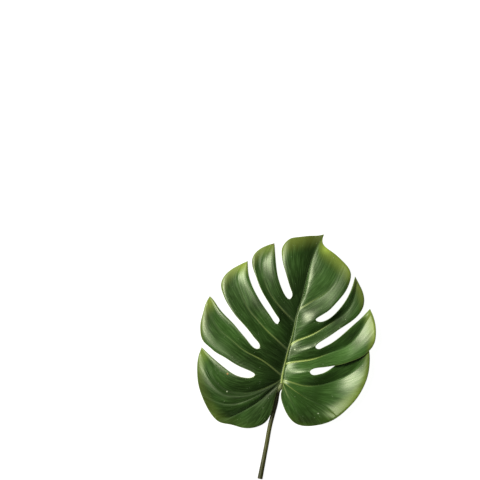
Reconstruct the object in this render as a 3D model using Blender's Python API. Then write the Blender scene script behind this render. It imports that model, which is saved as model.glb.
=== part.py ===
"""A picked monstera leaf lying on a surface, glossy side up: the split blade and its cut stalk.

The leaf lies in the XY plane with its tip towards +Y, and the surface it rests on is z = 0.
Lengths below are in millimetres, and the x and y of every point are measured from the joint,
where the stalk meets the blade.
"""

from collections import namedtuple

import bpy
import numpy as np

MM = 0.001

# Where the joint lies from the middle of the whole leaf's outline
JOINT = (-7.0, -32.2, 0.0)

# The blade's thickness, and the keel and ribs that stand out from its underside
BLADE_THICKNESS = 0.9
KEEL_DEPTH = 3.0
KEEL_END_DEPTH = 0.3
KEEL_WIDTH = 2.2
RIB_DEPTH = 1.4
RIB_WIDTH = 1.6
GREEN = (0.045, 0.13, 0.025, 1.0)
GREEN_ROUGHNESS = 0.35

# How the blade swells: its arch between two veins as a share of their distance, how far and how
# sharply the edges of a split roll down, and how softly a low place settles on the surface
ARCH_BETWEEN_VEINS = 0.09
EDGE_ROLL = 1.6
EDGE_ROLL_SHARPNESS = 6
SPLIT_HALF_WIDTH = 3.2
PRESS_SOFTNESS = 1.5

# Where along a strip of skin its own soft swells lie, as shares from the midrib to the margin, how
# long they are, and over which share they start at the midrib and at an open edge. A belly lifts
# the whole width of the strip, and a lean lifts one side and lowers the other.
BELLY_PLACES = (0.15, 0.4, 0.65, 0.88)
BELLY_LENGTHS = (0.14, 0.17, 0.17, 0.14)
LEAN_PLACES = (0.3, 0.6, 0.85)
LEAN_LENGTHS = (0.18, 0.2, 0.15)
ROOTED = 0.08
OPEN_SHARE = 0.15

# How finely the blade is divided
KNOT_POWER = 0.7
STEPS_PER_SPAN = 24
ROWS_TO_SPLIT = 5
ROWS_ALONG_SPLIT = 15
ROW_CROWDING = 0.7
COLUMN_CROWDING = 1.5
MARGIN_PULL = 3
PLAIN_SHARE = 0.12
WELD_DECIMALS = 4

# The midrib from the base edge of the blade to the tip, its height above the surface at even
# steps, and how wide the two halves of the blade stand apart along it
MIDRIB = ((0.2, -3.2), (0.9, 3), (2.5, 12.5), (5, 23.5), (9, 39.5), (16, 64.5), (20.5, 86),
          (29.5, 116.5), (36.5, 147), (45.5, 174), (52.5, 188), (58, 197.5))
MIDRIB_HEIGHTS = (12.0, 10.5, 8.0, -4.0)
MIDRIB_HALF_WIDTH = 1.8
MIDRIB_TAPER = 1.2
MIDRIB_END_SHARE = 0.2

# A rim runs from one lobe's tip to the next lobe's tip: along the outer margin to the shoulder,
# in along the lobe's lower edge, round the closed end of a split, and out along the upper edge
# of the next lobe. ends, shoulder and split are places in points: where veins meet the margin,
# where the margin turns into the lower edge, and the closed end. root is how far up the midrib
# the crest that leads to the split begins. Heights are above the surface, at even steps.
Rim = namedtuple("Rim", "points ends shoulder split root split_height lower_edge upper_edge")

# A vein runs from the midrib to the margin through its points. A sunken one lies in a valley, and
# the others lie on the swell between two valleys.
Vein = namedtuple("Vein", "root points heights sunken")

RIGHT_RIMS = (
    Rim(points=((58, 197.5), (56, 190), (57, 184.5), (62, 179), (71.5, 172), (82.5, 162),
                (91, 152), (94, 143), (91.5, 131), (85, 118.5), (74, 105.5), (63.5, 95),
                (50, 86.5), (46.3, 82.7), (50.5, 80), (58, 81), (67, 86), (79.5, 98.5),
                (88.5, 111), (96, 127), (100, 140.5)),
        ends=(5,), shoulder=7, split=13, root=76, split_height=21.0,
        lower_edge=(20.0, 12.5), upper_edge=(18.5, 6.0)),
    Rim(points=((100, 140.5), (102.2, 136.5), (106, 129), (110, 120), (112, 107.5),
                (110, 98.5), (103, 88), (92, 79), (79.5, 71), (67, 62.5), (56, 55.5),
                (47.5, 49.5), (45.9, 46), (49.5, 43.5), (56, 45.5), (67, 51), (85, 64.5),
                (97.5, 75.5), (108.5, 85), (120, 97)),
        ends=(1,), shoulder=4, split=12, root=40, split_height=23.5,
        lower_edge=(21.0, 10.0), upper_edge=(16.0, 6.0)),
    Rim(points=((120, 97), (121.6, 93), (124.5, 85.5), (127, 74), (127.3, 62), (125, 50.5),
                (119, 41.5), (108.5, 33), (95.5, 27.5), (81.5, 23), (70.5, 21), (56, 19),
                (43, 17), (38.4, 13), (41.5, 9), (49, 9), (58, 11.5), (71.5, 20),
                (86.5, 31), (101.5, 41), (116.5, 48.5)),
        ends=(1,), shoulder=5, split=13, root=13, split_height=23.5,
        lower_edge=(19.0, 17.5), upper_edge=(14.0, 12.0)),
)
RIGHT_BASE = Rim(points=((116.5, 48.5), (117.6, 44.5), (118.8, 38), (119.2, 27), (117, 9),
                         (112, -5.5), (103, -21.5), (90.5, -36), (76, -48.5), (61.5, -56.5),
                         (47.5, -60.5), (33.5, -61.5), (22, -59), (13, -52), (6, -41),
                         (1.8, -28.5), (0.8, -16), (2.6, -8)),
                 ends=(1, 8, 11), shoulder=13, split=None, root=0, split_height=None,
                 lower_edge=(9.5, 6.0), upper_edge=None)
RIGHT_VEINS = (
    (Vein(103.5, ((33, 102), (43.5, 108.5), (56, 116.5), (67, 127), (74.5, 140)),
          (12.5, 12.0, 6.0), True),),
    (Vein(53, ((18.5, 53), (29.5, 57.5), (45.5, 64.5), (61.5, 74.5), (74, 82.5), (87, 93),
               (95.5, 105.5), (100.5, 119.5)), (14.0, 12.5, 4.0), True),),
    (Vein(27, ((13, 25), (26, 27), (42, 29.5), (58, 35), (74, 41), (88.5, 47.5),
               (104.5, 64.5), (113, 79)), (14.0, 9.5, 11.0), True),),
    (Vein(4.5, ((17, -2.5), (29.5, -6), (45.5, -6.5), (65.5, -2.5), (83, 4.5), (97.5, 13.5),
                (110, 26)), (12.0, 4.0, 8.0, 15.0), True),
     Vein(2.5, ((20.5, -14.5), (34.5, -23.5), (49, -30.5), (63.5, -38.5)),
          (14.0, 7.0, 7.0, 14.0), False),
     Vein(1, ((7.5, -17), (13, -26.5), (21.5, -41)), (14.0, 11.0, -4.0), False)),
)
RIGHT_TIP_ROOT = 155
RIGHT_COLUMNS = ((7, 4), (4, 5), (4, 5), (4, 6, 4, 4))

# The swells of each strip of skin in millimetres, from the tip to the base: its bellies, and then
# its leans
RIGHT_SWELLS = (
    (0, -1, -1.5, 0, 0, 0, 0),
    (0, 0, -1, -1, 0, 0, 0),
    (0, 0, -1, 0, 0, 0, 0),
    (-1, -1, -1, -1, 0, 0, 0),
    (0, 0, 0, 0, 0, 0, 0),
    (-1, 0, -1, 0, 0, 0, 0),
    (0, 0, -1, 0, 0, 0, 0),
    (0, 0, -2, 0, 0, 0, 0),
    (0, 0, 0, 0, 0, 0, 0),
    (0, 0, 0, 0, 0, 0, 0),
)

LEFT_RIMS = (
    Rim(points=((58, 197.5), (51, 196), (38.5, 195.5), (24.5, 194), (13, 192), (6, 186.5),
                (1.5, 179), (1, 170.5), (2.5, 159.5), (6, 147), (13, 124), (15, 115.5),
                (11.5, 110.3), (7, 113), (-1, 129), (-5, 143), (-7.2, 160), (-8.3, 174),
                (-9, 185.5)),
        ends=(), shoulder=6, split=12, root=99.5, split_height=13.5,
        lower_edge=(15.0, 8.0), upper_edge=(18.0, 10.0)),
    Rim(points=((-9, 185.5), (-14, 184.2), (-25.5, 179.5), (-35, 172), (-39, 163),
                (-38, 152.5), (-34, 141.5), (-29.5, 129), (-22.5, 115), (-14.5, 102),
                (-5.5, 88), (-2.3, 81.5), (-4.8, 77), (-9.5, 80), (-13.5, 86), (-26, 104),
                (-32.5, 115), (-37, 123.5), (-41.5, 134.5), (-44.3, 146), (-45, 161.5)),
        ends=(1,), shoulder=4, split=12, root=64, split_height=21.0,
        lower_edge=(18.5, 8.0), upper_edge=(17.0, 7.5)),
    Rim(points=((-45, 161.5), (-50, 159.2), (-60.5, 154), (-71, 147), (-78.5, 138),
                (-81, 128), (-78.5, 118), (-74, 107.5), (-67.5, 97), (-61, 88), (-51, 77),
                (-44, 69), (-35, 57.5), (-29.3, 50), (-29.5, 45), (-34, 44), (-46, 55.5),
                (-56.5, 68), (-64, 77), (-76.5, 89.5), (-86, 101), (-90.5, 108), (-96, 114)),
        ends=(1,), shoulder=5, split=14, root=26, split_height=24.0,
        lower_edge=(19.0, 7.0), upper_edge=(18.5, 6.0)),
    Rim(points=((-96, 114), (-98.6, 110), (-102, 103), (-105.2, 91.5), (-108.2, 80),
                (-109, 69.5), (-105.5, 54.5), (-96, 45.5), (-89, 39.5), (-76.5, 32.5),
                (-64, 24.5), (-51, 18), (-39.5, 13), (-35.4, 9), (-40, 5.5), (-51, 5.3),
                (-62, 8.5), (-73, 15.5), (-82, 22.5), (-90.5, 29.5), (-100, 38), (-107, 45)),
        ends=(1,), shoulder=5, split=13, root=6, split_height=23.0,
        lower_edge=(17.0, 5.0), upper_edge=(16.5, 4.5)),
)
LEFT_BASE = Rim(points=((-107, 45), (-108.6, 41), (-110.8, 35), (-112.8, 25), (-113.2, 11),
                        (-111.5, -5.5), (-107.3, -19.5), (-100, -36), (-91, -49.5),
                        (-82, -56.5), (-67.5, -59.5), (-55, -63), (-42.5, -64), (-29.5, -61),
                        (-19, -53.5), (-12.5, -39), (-10, -27.5), (-7, -16), (-5.2, -8.5)),
                ends=(1, 6, 9), shoulder=13, split=None, root=0, split_height=None,
                lower_edge=(12.0, 6.0), upper_edge=None)
LEFT_VEINS = (
    (),
    (Vein(85, ((6, 91.5), (-6.5, 105.5), (-15.5, 118.5), (-22.5, 134.5), (-26, 149),
               (-25, 166)), (12.5, 11.0, 4.5), True),),
    (Vein(46, ((-8, 57.5), (-22.5, 71.5), (-33.5, 84), (-44, 97), (-51, 111), (-56.5, 125.5),
               (-59.5, 142)), (13.5, 10.5, 4.0), True),),
    (Vein(11, ((-12, 18), (-26, 28.5), (-40.5, 36), (-55, 45), (-69, 57.5), (-82, 68),
               (-90, 78), (-95.5, 93)), (13.5, 9.0, 2.5), True),),
    (Vein(4, ((-15.5, -6.5), (-26, -11), (-42.5, -15.5), (-56.5, -16.5), (-70, -14.5),
              (-83.5, -7), (-97, 12.5)), (12.0, 8.0, 2.0), True),
     Vein(2.5, ((-25.5, -15.5), (-48.5, -26.5), (-74.5, -31)), (14.5, 12.0, 3.0), False),
     Vein(1, ((-15.5, -14.5), (-29.5, -27), (-46, -37.5), (-64, -47.5)),
          (11.0, 6.5, -8.0), True)),
)
LEFT_TIP_ROOT = 121
LEFT_COLUMNS = ((9,), (4, 4), (4, 4), (4, 4), (4, 5, 4, 4))
LEFT_SWELLS = (
    (0, 0, 0, 0, 0, 0, 0),
    (0, 0, 0, 0, 0, 0, 0),
    (0, 0, -2, -2, 0, 0, 0),
    (0, 0, 0, 0, 0, 0, 0),
    (0, 0, -2, -2, 0, 0, 0),
) + ((0, 0, 0, 0, 0, 0, 0),) * 6

# The stalk from the cut to the blade: x, y and height of its middle line, and its radius
STALK = ((-28.5, -132.5, 3.4, 3.4), (-25.5, -117, 3.2, 3.2), (-22.3, -100.5, 3.0, 3.0),
         (-18.8, -82, 2.9, 2.9), (-15.2, -62, 2.9, 2.9), (-12.2, -50, 3.0, 2.9),
         (-10.0, -41, 3.4, 3.1), (-8.2, -32, 4.4, 3.3), (-6.6, -22.5, 5.9, 3.2),
         (-4.9, -15, 7.4, 2.8), (-2.9, -10.8, 8.6, 2.5), (-1.1, -7.4, 9.3, 2.7),
         (0.0, -4.4, 9.7, 1.8))
STALK_SIDES = 16
STALK_RINGS_PER_SPAN = 3
OLIVE = (0.09, 0.10, 0.03, 1.0)
OLIVE_ROUGHNESS = 0.5

# Edges sharper than this many degrees stay crisp
SHARP_ANGLE = 50

# One half's edge along the midrib: each point's distance up the midrib, and its place
Root = namedtuple("Root", "stations path")

# A vein or a crest as rows of points: where on the midrib it starts, whether it lies in a valley,
# whether a rib runs under it, and how far beyond each row the middle of a split lies
Line = namedtuple("Line", "rows root sunken veined beyond")

# The upper face of the blade, with how thick the blade is at each point
Sheet = namedtuple("Sheet", "points thickness faces")


def smooth_path(points):
    """A dense polyline on the natural cubic curve through the points."""
    p = np.array(points, float)
    gaps = np.linalg.norm(np.diff(p, axis=0), axis=1) ** KNOT_POWER
    count = len(p)
    system = np.eye(count)
    bend = np.zeros_like(p)
    for i in range(1, count - 1):
        before, after = gaps[i - 1], gaps[i]
        system[i, i - 1:i + 2] = before, 2 * (before + after), after
        bend[i] = 6 * ((p[i + 1] - p[i]) / after - (p[i] - p[i - 1]) / before)
    curvature = np.linalg.solve(system, bend)
    path = []
    for i, gap in enumerate(gaps):
        t = np.arange(STEPS_PER_SPAN)[:, None] / STEPS_PER_SPAN
        line = p[i] * (1 - t) + p[i + 1] * t
        early = curvature[i] * t * (1 - t) * (t - 2) / 6
        late = curvature[i + 1] * t * (t * t - 1) / 6
        path.append(line + gap * gap * (early + late))
    return np.vstack(path + [p[-1:]])


def run_of(path):
    """Distance from the start of a polyline to each of its points."""
    steps = np.linalg.norm(np.diff(path[:, :2], axis=0), axis=1)
    return np.concatenate([[0], np.cumsum(steps)])


def spread(path, shares):
    """Points of a polyline at the given shares of its length."""
    run = run_of(path)
    distances = np.asarray(shares) * run[-1]
    return np.stack([np.interp(distances, run, axis) for axis in path.T], axis=-1)


def heights_along(values, shares):
    """Heights at the given shares of a line, on the curve through evenly spaced values."""
    places = np.linspace(0, 1, len(values))
    return np.polyval(np.polyfit(places, values, len(values) - 1), shares)


def raised(path, values):
    """The path with heights added, from evenly spaced values along it."""
    run = run_of(path)
    return np.column_stack([path, heights_along(values, run / run[-1])])


def root_of_half(side):
    """One half's edge along the midrib: side is 1 on the right and -1 on the left."""
    middle = smooth_path(MIDRIB)
    stations = run_of(middle)
    share = stations / stations[-1]
    ahead = np.gradient(middle, axis=0)
    across = np.column_stack([ahead[:, 1], -ahead[:, 0]])
    across /= np.linalg.norm(across, axis=1)[:, None]
    half_width = MIDRIB_HALF_WIDTH * np.maximum((1 - share) ** MIDRIB_TAPER, MIDRIB_END_SHARE)
    half_width[-1] = 0
    path = middle + side * across * half_width[:, None]
    return Root(stations, raised(path, MIDRIB_HEIGHTS))


def root_at(root, stations):
    """Points of a half's edge at the given distances up the midrib."""
    return np.stack([np.interp(stations, root.stations, axis) for axis in root.path.T], axis=-1)


def row_shares():
    """How far along a line its rows lie, beyond the level of a split's closed end."""
    t = np.linspace(0, 1, ROWS_ALONG_SPLIT + 1)
    return t * (1 - ROW_CROWDING) + ROW_CROWDING * t * t


def rows_of(inner, outer):
    """A line's rows: evenly to the level of the split's closed end, and crowded just past it."""
    near = spread(inner, np.linspace(0, 1, ROWS_TO_SPLIT + 1))
    far = spread(outer, row_shares())
    return np.vstack([near[:-1], far])


def cut(path, share):
    """The two parts of a path at a share of its length."""
    run = run_of(path)
    middle = spread(path, [share])
    before = run < share * run[-1]
    return np.vstack([path[before], middle]), np.vstack([middle, path[~before]])


def nearest_share(path, point):
    """The share of a path's length at which it comes nearest to a point."""
    run = run_of(path)
    nearest = np.argmin(np.linalg.norm(path[:, :2] - point, axis=1))
    return run[nearest] / run[-1]


def vein_path(root, vein, end):
    """A vein's dense path from the midrib to its end on the margin, with its heights."""
    start = root_at(root, vein.root)
    path = smooth_path((start[:2], *vein.points, end))
    return raised(path, (start[2], *vein.heights))


def crest_to_split(root, rim):
    """The crest from the midrib to a split's closed end, steep at first and level at the split."""
    start = root_at(root, rim.root)
    share = np.linspace(0, 1, STEPS_PER_SPAN + 1)
    flat = start[:2] + share[:, None] * (np.array(rim.points[rim.split]) - start[:2])
    rise = np.sin(share * np.pi / 2) * (rim.split_height - start[2])
    return np.column_stack([flat, start[2] + rise])


def split_line(crest, edge, root):
    """A crest that goes on as one edge of its split."""
    rows = rows_of(crest, edge)
    ahead = crest[-1, :2] - crest[0, :2]
    ahead /= np.linalg.norm(ahead)
    out = rows[:, :2] - crest[-1, :2]
    aside = np.abs(out[:, 0] * ahead[1] - out[:, 1] * ahead[0])
    aside[:ROWS_TO_SPLIT] = 0
    beyond = np.minimum(np.maximum.accumulate(aside), SPLIT_HALF_WIDTH)
    return Line(rows, root, False, False, beyond[:, None])


def waves(u, heights, places, lengths):
    """A soft swell at each place along a strip, added up."""
    parts = zip(heights, places, lengths)
    return sum(height * np.exp(-((u - place) / length) ** 2) for height, place, length in parts)


def fold_share(line, past_split):
    """1 where the skin may fold at a line, and 0 where it has to pass smoothly over it."""
    if line.sunken:
        return 1.0
    return 0.0 if line.veined else np.minimum(past_split / OPEN_SHARE, 1)


def bellied(u, v, a, b, past_split, swells):
    """How far a strip swells out or in between its two lines, beyond its even form."""
    fold_a, fold_b = fold_share(a, past_split), fold_share(b, past_split)
    soft = (fold_a + (1 - fold_a) * v) * (fold_b + (1 - fold_b) * (1 - v))
    belly = waves(u, swells[:4], BELLY_PLACES, BELLY_LENGTHS) * np.sin(np.pi * v)
    lean = waves(u, swells[4:], LEAN_PLACES, LEAN_LENGTHS) * np.sin(2 * np.pi * v)
    return np.minimum(u / ROOTED, 1) * soft * (belly + lean)


def strip(a, b, margin, root, columns, swells):
    """The grid of points between two neighbouring lines, and how deep their ribs reach there."""
    even = np.linspace(0, 1, columns + 1)
    if a.sunken and b.sunken:
        v = (1 - np.cos(np.pi * even)) / 2
    elif a.sunken:
        v = even ** COLUMN_CROWDING
    elif b.sunken:
        v = 1 - (1 - even) ** COLUMN_CROWDING
    else:
        v = even
    width = np.linalg.norm(a.rows[:, None, :2] - b.rows[:, None, :2], axis=2)
    place = (v * width + a.beyond) / (width + a.beyond + b.beyond)
    if a.sunken and b.sunken:
        rise = place
    elif a.sunken:
        rise = np.sin(np.pi / 2 * place)
    elif b.sunken:
        rise = 1 - np.cos(np.pi / 2 * place)
    else:
        rise = (1 - np.cos(np.pi * place)) / 2
    u = np.linspace(0, 1, len(a.rows))[:, None]
    across = v[:, None]
    grid = a.rows[:, None] * (1 - across) + b.rows[:, None] * across
    inner = root_at(root, a.root + (b.root - a.root) * v)
    outer = spread(margin, v)
    from_midrib = (inner - grid[0])[None, :, :2]
    from_margin = (outer[:, :2] - grid[-1, :, :2])[None]
    away = u[:, :, None]
    grid[:, :, :2] += (1 - away) * from_midrib + away ** MARGIN_PULL * from_margin
    low, high = a.rows[:, None, 2], b.rows[:, None, 2]
    grid[:, :, 2] = low + (high - low) * rise
    if a.veined and b.veined:
        arch = 4 * u * (1 - u) * np.sin(np.pi * v)
        grid[:, :, 2] += ARCH_BETWEEN_VEINS * width * arch
    past_split = np.maximum(u * (len(u) - 1) - ROWS_TO_SPLIT, 0) / ROWS_ALONG_SPLIT
    grid[:, :, 2] += bellied(u, v, a, b, past_split, swells)
    if not a.veined:
        grid[:, :, 2] -= EDGE_ROLL * past_split * (1 - v) ** EDGE_ROLL_SHARPNESS
    if not b.veined:
        grid[:, :, 2] -= EDGE_ROLL * past_split * v ** EDGE_ROLL_SHARPNESS
    rib = np.zeros(grid.shape[:2])
    for line in (a, b):
        if line.veined:
            off = np.linalg.norm(grid[:, :, :2] - line.rows[:, None, :2], axis=2)
            rib = np.maximum(rib, (1 - u) * np.exp(-(off / RIB_WIDTH) ** 2))
    return grid, rib * RIB_DEPTH


def half_blade(side, rims, base, veins, tip_root, columns, swells):
    """The strips of one half, from the tip to the base, and its points along the midrib."""
    root = root_of_half(side)
    base = base._replace(points=(*base.points, tuple(root.path[0, :2])))
    strips = []
    upper = None
    for rim, group, counts in zip((*rims, base), veins, columns):
        path = smooth_path(rim.points)
        knots = [index * STEPS_PER_SPAN for index in (0, *rim.ends, rim.shoulder)]
        vein_paths = [vein_path(root, vein, path[knot]) for vein, knot in zip(group, knots[1:])]
        shares = []
        if group and upper:
            shares.append(nearest_share(vein_paths[0], upper.rows[ROWS_TO_SPLIT, :2]))
        if group and rim.split:
            shares.append(nearest_share(vein_paths[-1], rim.points[rim.split]))
        share = np.mean(shares) if shares else PLAIN_SHARE
        if upper is None:
            beyond = root.stations > tip_root
            along = np.vstack([root_at(root, [tip_root]), root.path[beyond]])
            upper = Line(rows_of(*cut(along, share)), tip_root, True, True, 0)
            spine = upper.rows
        if rim.split:
            closed = rim.split * STEPS_PER_SPAN
            crest = crest_to_split(root, rim)
            edge = raised(path[knots[-1]:closed + 1][::-1], (rim.split_height, *rim.lower_edge))
            lower = split_line(crest, edge, rim.root)
            edge = raised(path[closed:], (rim.split_height, *rim.upper_edge))
            following = split_line(crest, edge, rim.root)
        else:
            edge = raised(path[knots[-1]:][::-1], (root.path[0, 2], *rim.lower_edge))
            lower = Line(rows_of(*cut(edge, share)), rim.root, False, False, 0)
            following = None
        lines = [upper]
        for vein, vein_line in zip(group, vein_paths):
            lines.append(Line(rows_of(*cut(vein_line, share)), vein.root, vein.sunken, True, 0))
        lines.append(lower)
        for i, count in enumerate(counts):
            margin = path[knots[i]:knots[i + 1] + 1]
            swelling = swells[len(strips)]
            strips.append(strip(lines[i], lines[i + 1], margin, root, count, swelling))
        upper = following
    foot = [grid[0, ::-1] for grid, _ in reversed(strips)]
    chain = np.vstack([row[:-1] for row in foot] + [spine])
    return strips, chain


def grid_faces(rows, columns, side):
    """Two triangles for each cell of a grid of points, with their upper side up."""
    faces = []
    for i in range(rows - 1):
        for j in range(columns - 1):
            here = i * columns + j
            out = here + columns
            faces += [(here, here + 1, out + 1), (here, out + 1, out)]
    return [face if side > 0 else face[::-1] for face in faces]


def join_chains(left, right, offset):
    """Triangles between two chains of points that run side by side."""
    faces = []
    i = j = 0
    while i < len(left) - 1 or j < len(right) - 1:
        here = (i, j + len(left))
        take_left = j == len(right) - 1 or (
            i < len(left) - 1
            and np.linalg.norm(left[i + 1] - right[j]) < np.linalg.norm(left[i] - right[j + 1]))
        if take_left:
            i += 1
            faces.append((*here, i))
        else:
            j += 1
            faces.append((*here, j + len(left)))
    return [tuple(offset + k for k in face) for face in faces]


def welded(points, values, faces):
    """The points with doubles merged, their values, and the triangles that still have a size."""
    _, first, same = np.unique(np.round(points, WELD_DECIMALS), axis=0,
                               return_index=True, return_inverse=True)
    faces = same.reshape(-1)[faces]
    a, b, c = faces.T
    return points[first], values[first], faces[(a != b) & (b != c) & (a != c)]


def keel_depth(points):
    """How deep the midrib's keel reaches under each point, from the base to the tip."""
    middle = smooth_path(MIDRIB)
    gaps = np.linalg.norm(points[:, None, :2] - middle[None], axis=2)
    share = gaps.argmin(axis=1) / (len(middle) - 1)
    outside = np.maximum(gaps.min(axis=1) - MIDRIB_HALF_WIDTH * (1 - share), 0)
    depth = KEEL_DEPTH + (KEEL_END_DEPTH - KEEL_DEPTH) * share
    return depth * np.exp(-(outside / KEEL_WIDTH) ** 2)


def pressed(height):
    """A height kept from sinking under the surface, with a soft start."""
    w = PRESS_SOFTNESS
    return np.where(height > w, height, np.where(height < -w, 0, (height + w) ** 2 / (4 * w)))


def blade_sheet():
    """The upper face of the blade, with how thick the blade is at each of its points."""
    right = half_blade(1, RIGHT_RIMS, RIGHT_BASE, RIGHT_VEINS, RIGHT_TIP_ROOT, RIGHT_COLUMNS,
                       RIGHT_SWELLS)
    left = half_blade(-1, LEFT_RIMS, LEFT_BASE, LEFT_VEINS, LEFT_TIP_ROOT, LEFT_COLUMNS,
                      LEFT_SWELLS)
    points, ribs, faces = [], [], []
    count = 0
    for side, (strips, _) in ((1, right), (-1, left)):
        for grid, rib in strips:
            faces += [tuple(count + k for k in face) for face in grid_faces(*rib.shape, side)]
            points.append(grid.reshape(-1, 3))
            ribs.append(rib.ravel())
            count += rib.size
    chains = (left[1], right[1])
    faces += join_chains(*chains, count)
    points += chains
    ribs += [np.zeros(len(chain)) for chain in chains]
    points, ribs, faces = welded(np.vstack(points), np.concatenate(ribs), np.array(faces))
    thickness = BLADE_THICKNESS + np.maximum(keel_depth(points), ribs)
    points[:, 2] = BLADE_THICKNESS + pressed(points[:, 2] - BLADE_THICKNESS)
    return Sheet(points, thickness, faces)


def thickened(sheet):
    """Points and triangles of the closed solid between the sheet and its underside."""
    under = sheet.points.copy()
    under[:, 2] = np.maximum(under[:, 2] - sheet.thickness, 0)
    count = len(under)
    edges = np.concatenate([sheet.faces[:, [0, 1]], sheet.faces[:, [1, 2]], sheet.faces[:, [2, 0]]])
    known = {tuple(edge) for edge in edges}
    walls = []
    for a, b in edges:
        if (b, a) not in known:
            walls += [(a, a + count, b + count), (a, b + count, b)]
    faces = np.vstack([sheet.faces, sheet.faces[:, ::-1] + count, walls])
    return np.vstack([sheet.points, under]), faces


def stalk_solid():
    """Points and triangles of the round stalk, cut flat at its lower end."""
    path = smooth_path(STALK)[::STEPS_PER_SPAN // STALK_RINGS_PER_SPAN]
    ahead = np.gradient(path[:, :3], axis=0)
    ahead /= np.linalg.norm(ahead, axis=1)[:, None]
    side = np.cross(ahead, (0, 0, 1))
    side /= np.linalg.norm(side, axis=1)[:, None]
    up = np.cross(side, ahead)
    turn = np.arange(STALK_SIDES) * 2 * np.pi / STALK_SIDES
    ring = (np.cos(turn)[:, None, None] * side + np.sin(turn)[:, None, None] * up)
    points = (path[:, :3] + path[:, 3:] * ring).transpose(1, 0, 2).reshape(-1, 3)
    points[:, 2] = np.maximum(points[:, 2], 0)
    faces = []
    for i in range(len(path) - 1):
        for j in range(STALK_SIDES):
            here, beside = i * STALK_SIDES + j, i * STALK_SIDES + (j + 1) % STALK_SIDES
            after, after_beside = here + STALK_SIDES, beside + STALK_SIDES
            faces += [(here, after_beside, beside), (here, after, after_beside)]
    last = (len(path) - 1) * STALK_SIDES
    for j in range(1, STALK_SIDES - 1):
        faces += [(0, j, j + 1), (last, last + j + 1, last + j)]
    return points, np.array(faces)


def add_piece(name, points, faces, color, roughness):
    """One named piece of the leaf in metres, with its own colour."""
    mesh = bpy.data.meshes.new(name)
    place = (points + np.array(JOINT)) * MM
    mesh.from_pydata(place.tolist(), [], faces.tolist())
    mesh.validate()
    mesh.shade_smooth()
    mesh.set_sharp_from_angle(angle=np.radians(SHARP_ANGLE))
    material = bpy.data.materials.new(name)
    material.use_nodes = True
    surface = material.node_tree.nodes["Principled BSDF"]
    surface.inputs["Base Color"].default_value = color
    surface.inputs["Roughness"].default_value = roughness
    surface.inputs["Metallic"].default_value = 0
    material.diffuse_color = color
    mesh.materials.append(material)
    piece = bpy.data.objects.new(name, mesh)
    bpy.context.scene.collection.objects.link(piece)
    return piece


def main():
    """Clear the scene and build the blade and its stalk."""
    for old in list(bpy.data.objects):
        bpy.data.objects.remove(old)
    add_piece("blade", *thickened(blade_sheet()), GREEN, GREEN_ROUGHNESS)
    add_piece("petiole", *stalk_solid(), OLIVE, OLIVE_ROUGHNESS)


main()
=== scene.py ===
# %% [markdown]
# # A picked monstera leaf
# The leaf lies on a pale table, glossy side up. Its heart-shaped blade is split into lobes
# between sunken veins, and a cut length of its stalk is still on it. A solid model already gives
# every size. This lesson loads it, and then grows a finer blade and stalk in the same place, with
# the skin, the veins and the soft light that the real leaf has.

from collections import namedtuple

import bpy
import numpy as np
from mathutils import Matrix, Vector


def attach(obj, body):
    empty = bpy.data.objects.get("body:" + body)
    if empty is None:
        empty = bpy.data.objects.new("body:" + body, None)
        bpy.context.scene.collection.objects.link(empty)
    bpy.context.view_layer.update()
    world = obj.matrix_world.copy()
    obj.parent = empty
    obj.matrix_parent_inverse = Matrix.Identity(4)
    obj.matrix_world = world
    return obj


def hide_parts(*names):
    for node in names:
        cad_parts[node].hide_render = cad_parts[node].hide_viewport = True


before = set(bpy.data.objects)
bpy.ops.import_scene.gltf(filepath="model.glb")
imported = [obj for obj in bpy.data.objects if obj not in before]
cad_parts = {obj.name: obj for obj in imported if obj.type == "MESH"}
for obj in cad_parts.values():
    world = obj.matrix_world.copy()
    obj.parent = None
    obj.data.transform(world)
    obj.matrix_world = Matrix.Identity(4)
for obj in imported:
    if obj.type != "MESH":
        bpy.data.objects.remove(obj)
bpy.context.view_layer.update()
print("solid nodes:", sorted(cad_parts))

# %% [markdown]
# ## One ruler for everything
# A leaf is easiest to measure from the joint, where the stalk meets the blade, and in
# millimetres. Blender counts in metres, and the solid model has its own middle. One small helper
# turns the one into the other, so every table below can stay in millimetres from the joint.

# %% The ruler
MM = 0.001
JOINT = np.array((-7.0, -32.2, 0.0))


def in_metres(points):
    """Points in millimetres from the joint, moved into the solid model's frame."""
    return (np.asarray(points, float) + JOINT) * MM


print("the joint lies at", in_metres((0, 0, 0)), "m")

# %% [markdown]
# ## The camera
# The picture looks straight down on the blade, from far away, so nothing is foreshortened. A long
# lens at a few metres does that. The picture is square and 480 pixels wide, and one pixel covers
# 1.352 mm of the leaf, which fixes how high the camera hangs. The leaf lies in the lower right
# part of the picture, so the camera hangs over a point to the upper left of the joint.

# %% Camera straight above
PIXEL = 1.352
PICTURE_WIDTH = 480
PICTURE_MIDDLE = (-55.43, 189.96)
LENS = 180
SENSOR = 36
SIGHT = 50

camera = bpy.data.objects.new("camera", bpy.data.cameras.new("camera"))
bpy.context.scene.collection.objects.link(camera)
bpy.context.scene.camera = camera
camera.data.lens = LENS
camera.data.sensor_width = SENSOR
camera.data.clip_end = SIGHT
camera_height = LENS / SENSOR * PICTURE_WIDTH * PIXEL
camera.location = in_metres((*PICTURE_MIDDLE, camera_height))
print("camera hangs", round(camera.location.z, 3), "m above the table")

# %% [markdown]
# ## The table and the air around it
# The background of the picture is pure white, also inside the splits of the blade, and hardly any
# shadow is seen on it. So the table is a light table: a wide plane whose paint is dark, and whose
# own glow makes it white. A white table lit by the lamp would show a hard shadow instead. The
# glossy skin would mirror that glow on its steep slopes as grey patches, so the plane is kept out
# of reflections. The air around gives only a weak fill, for the dark slopes have to stay dark.

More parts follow.
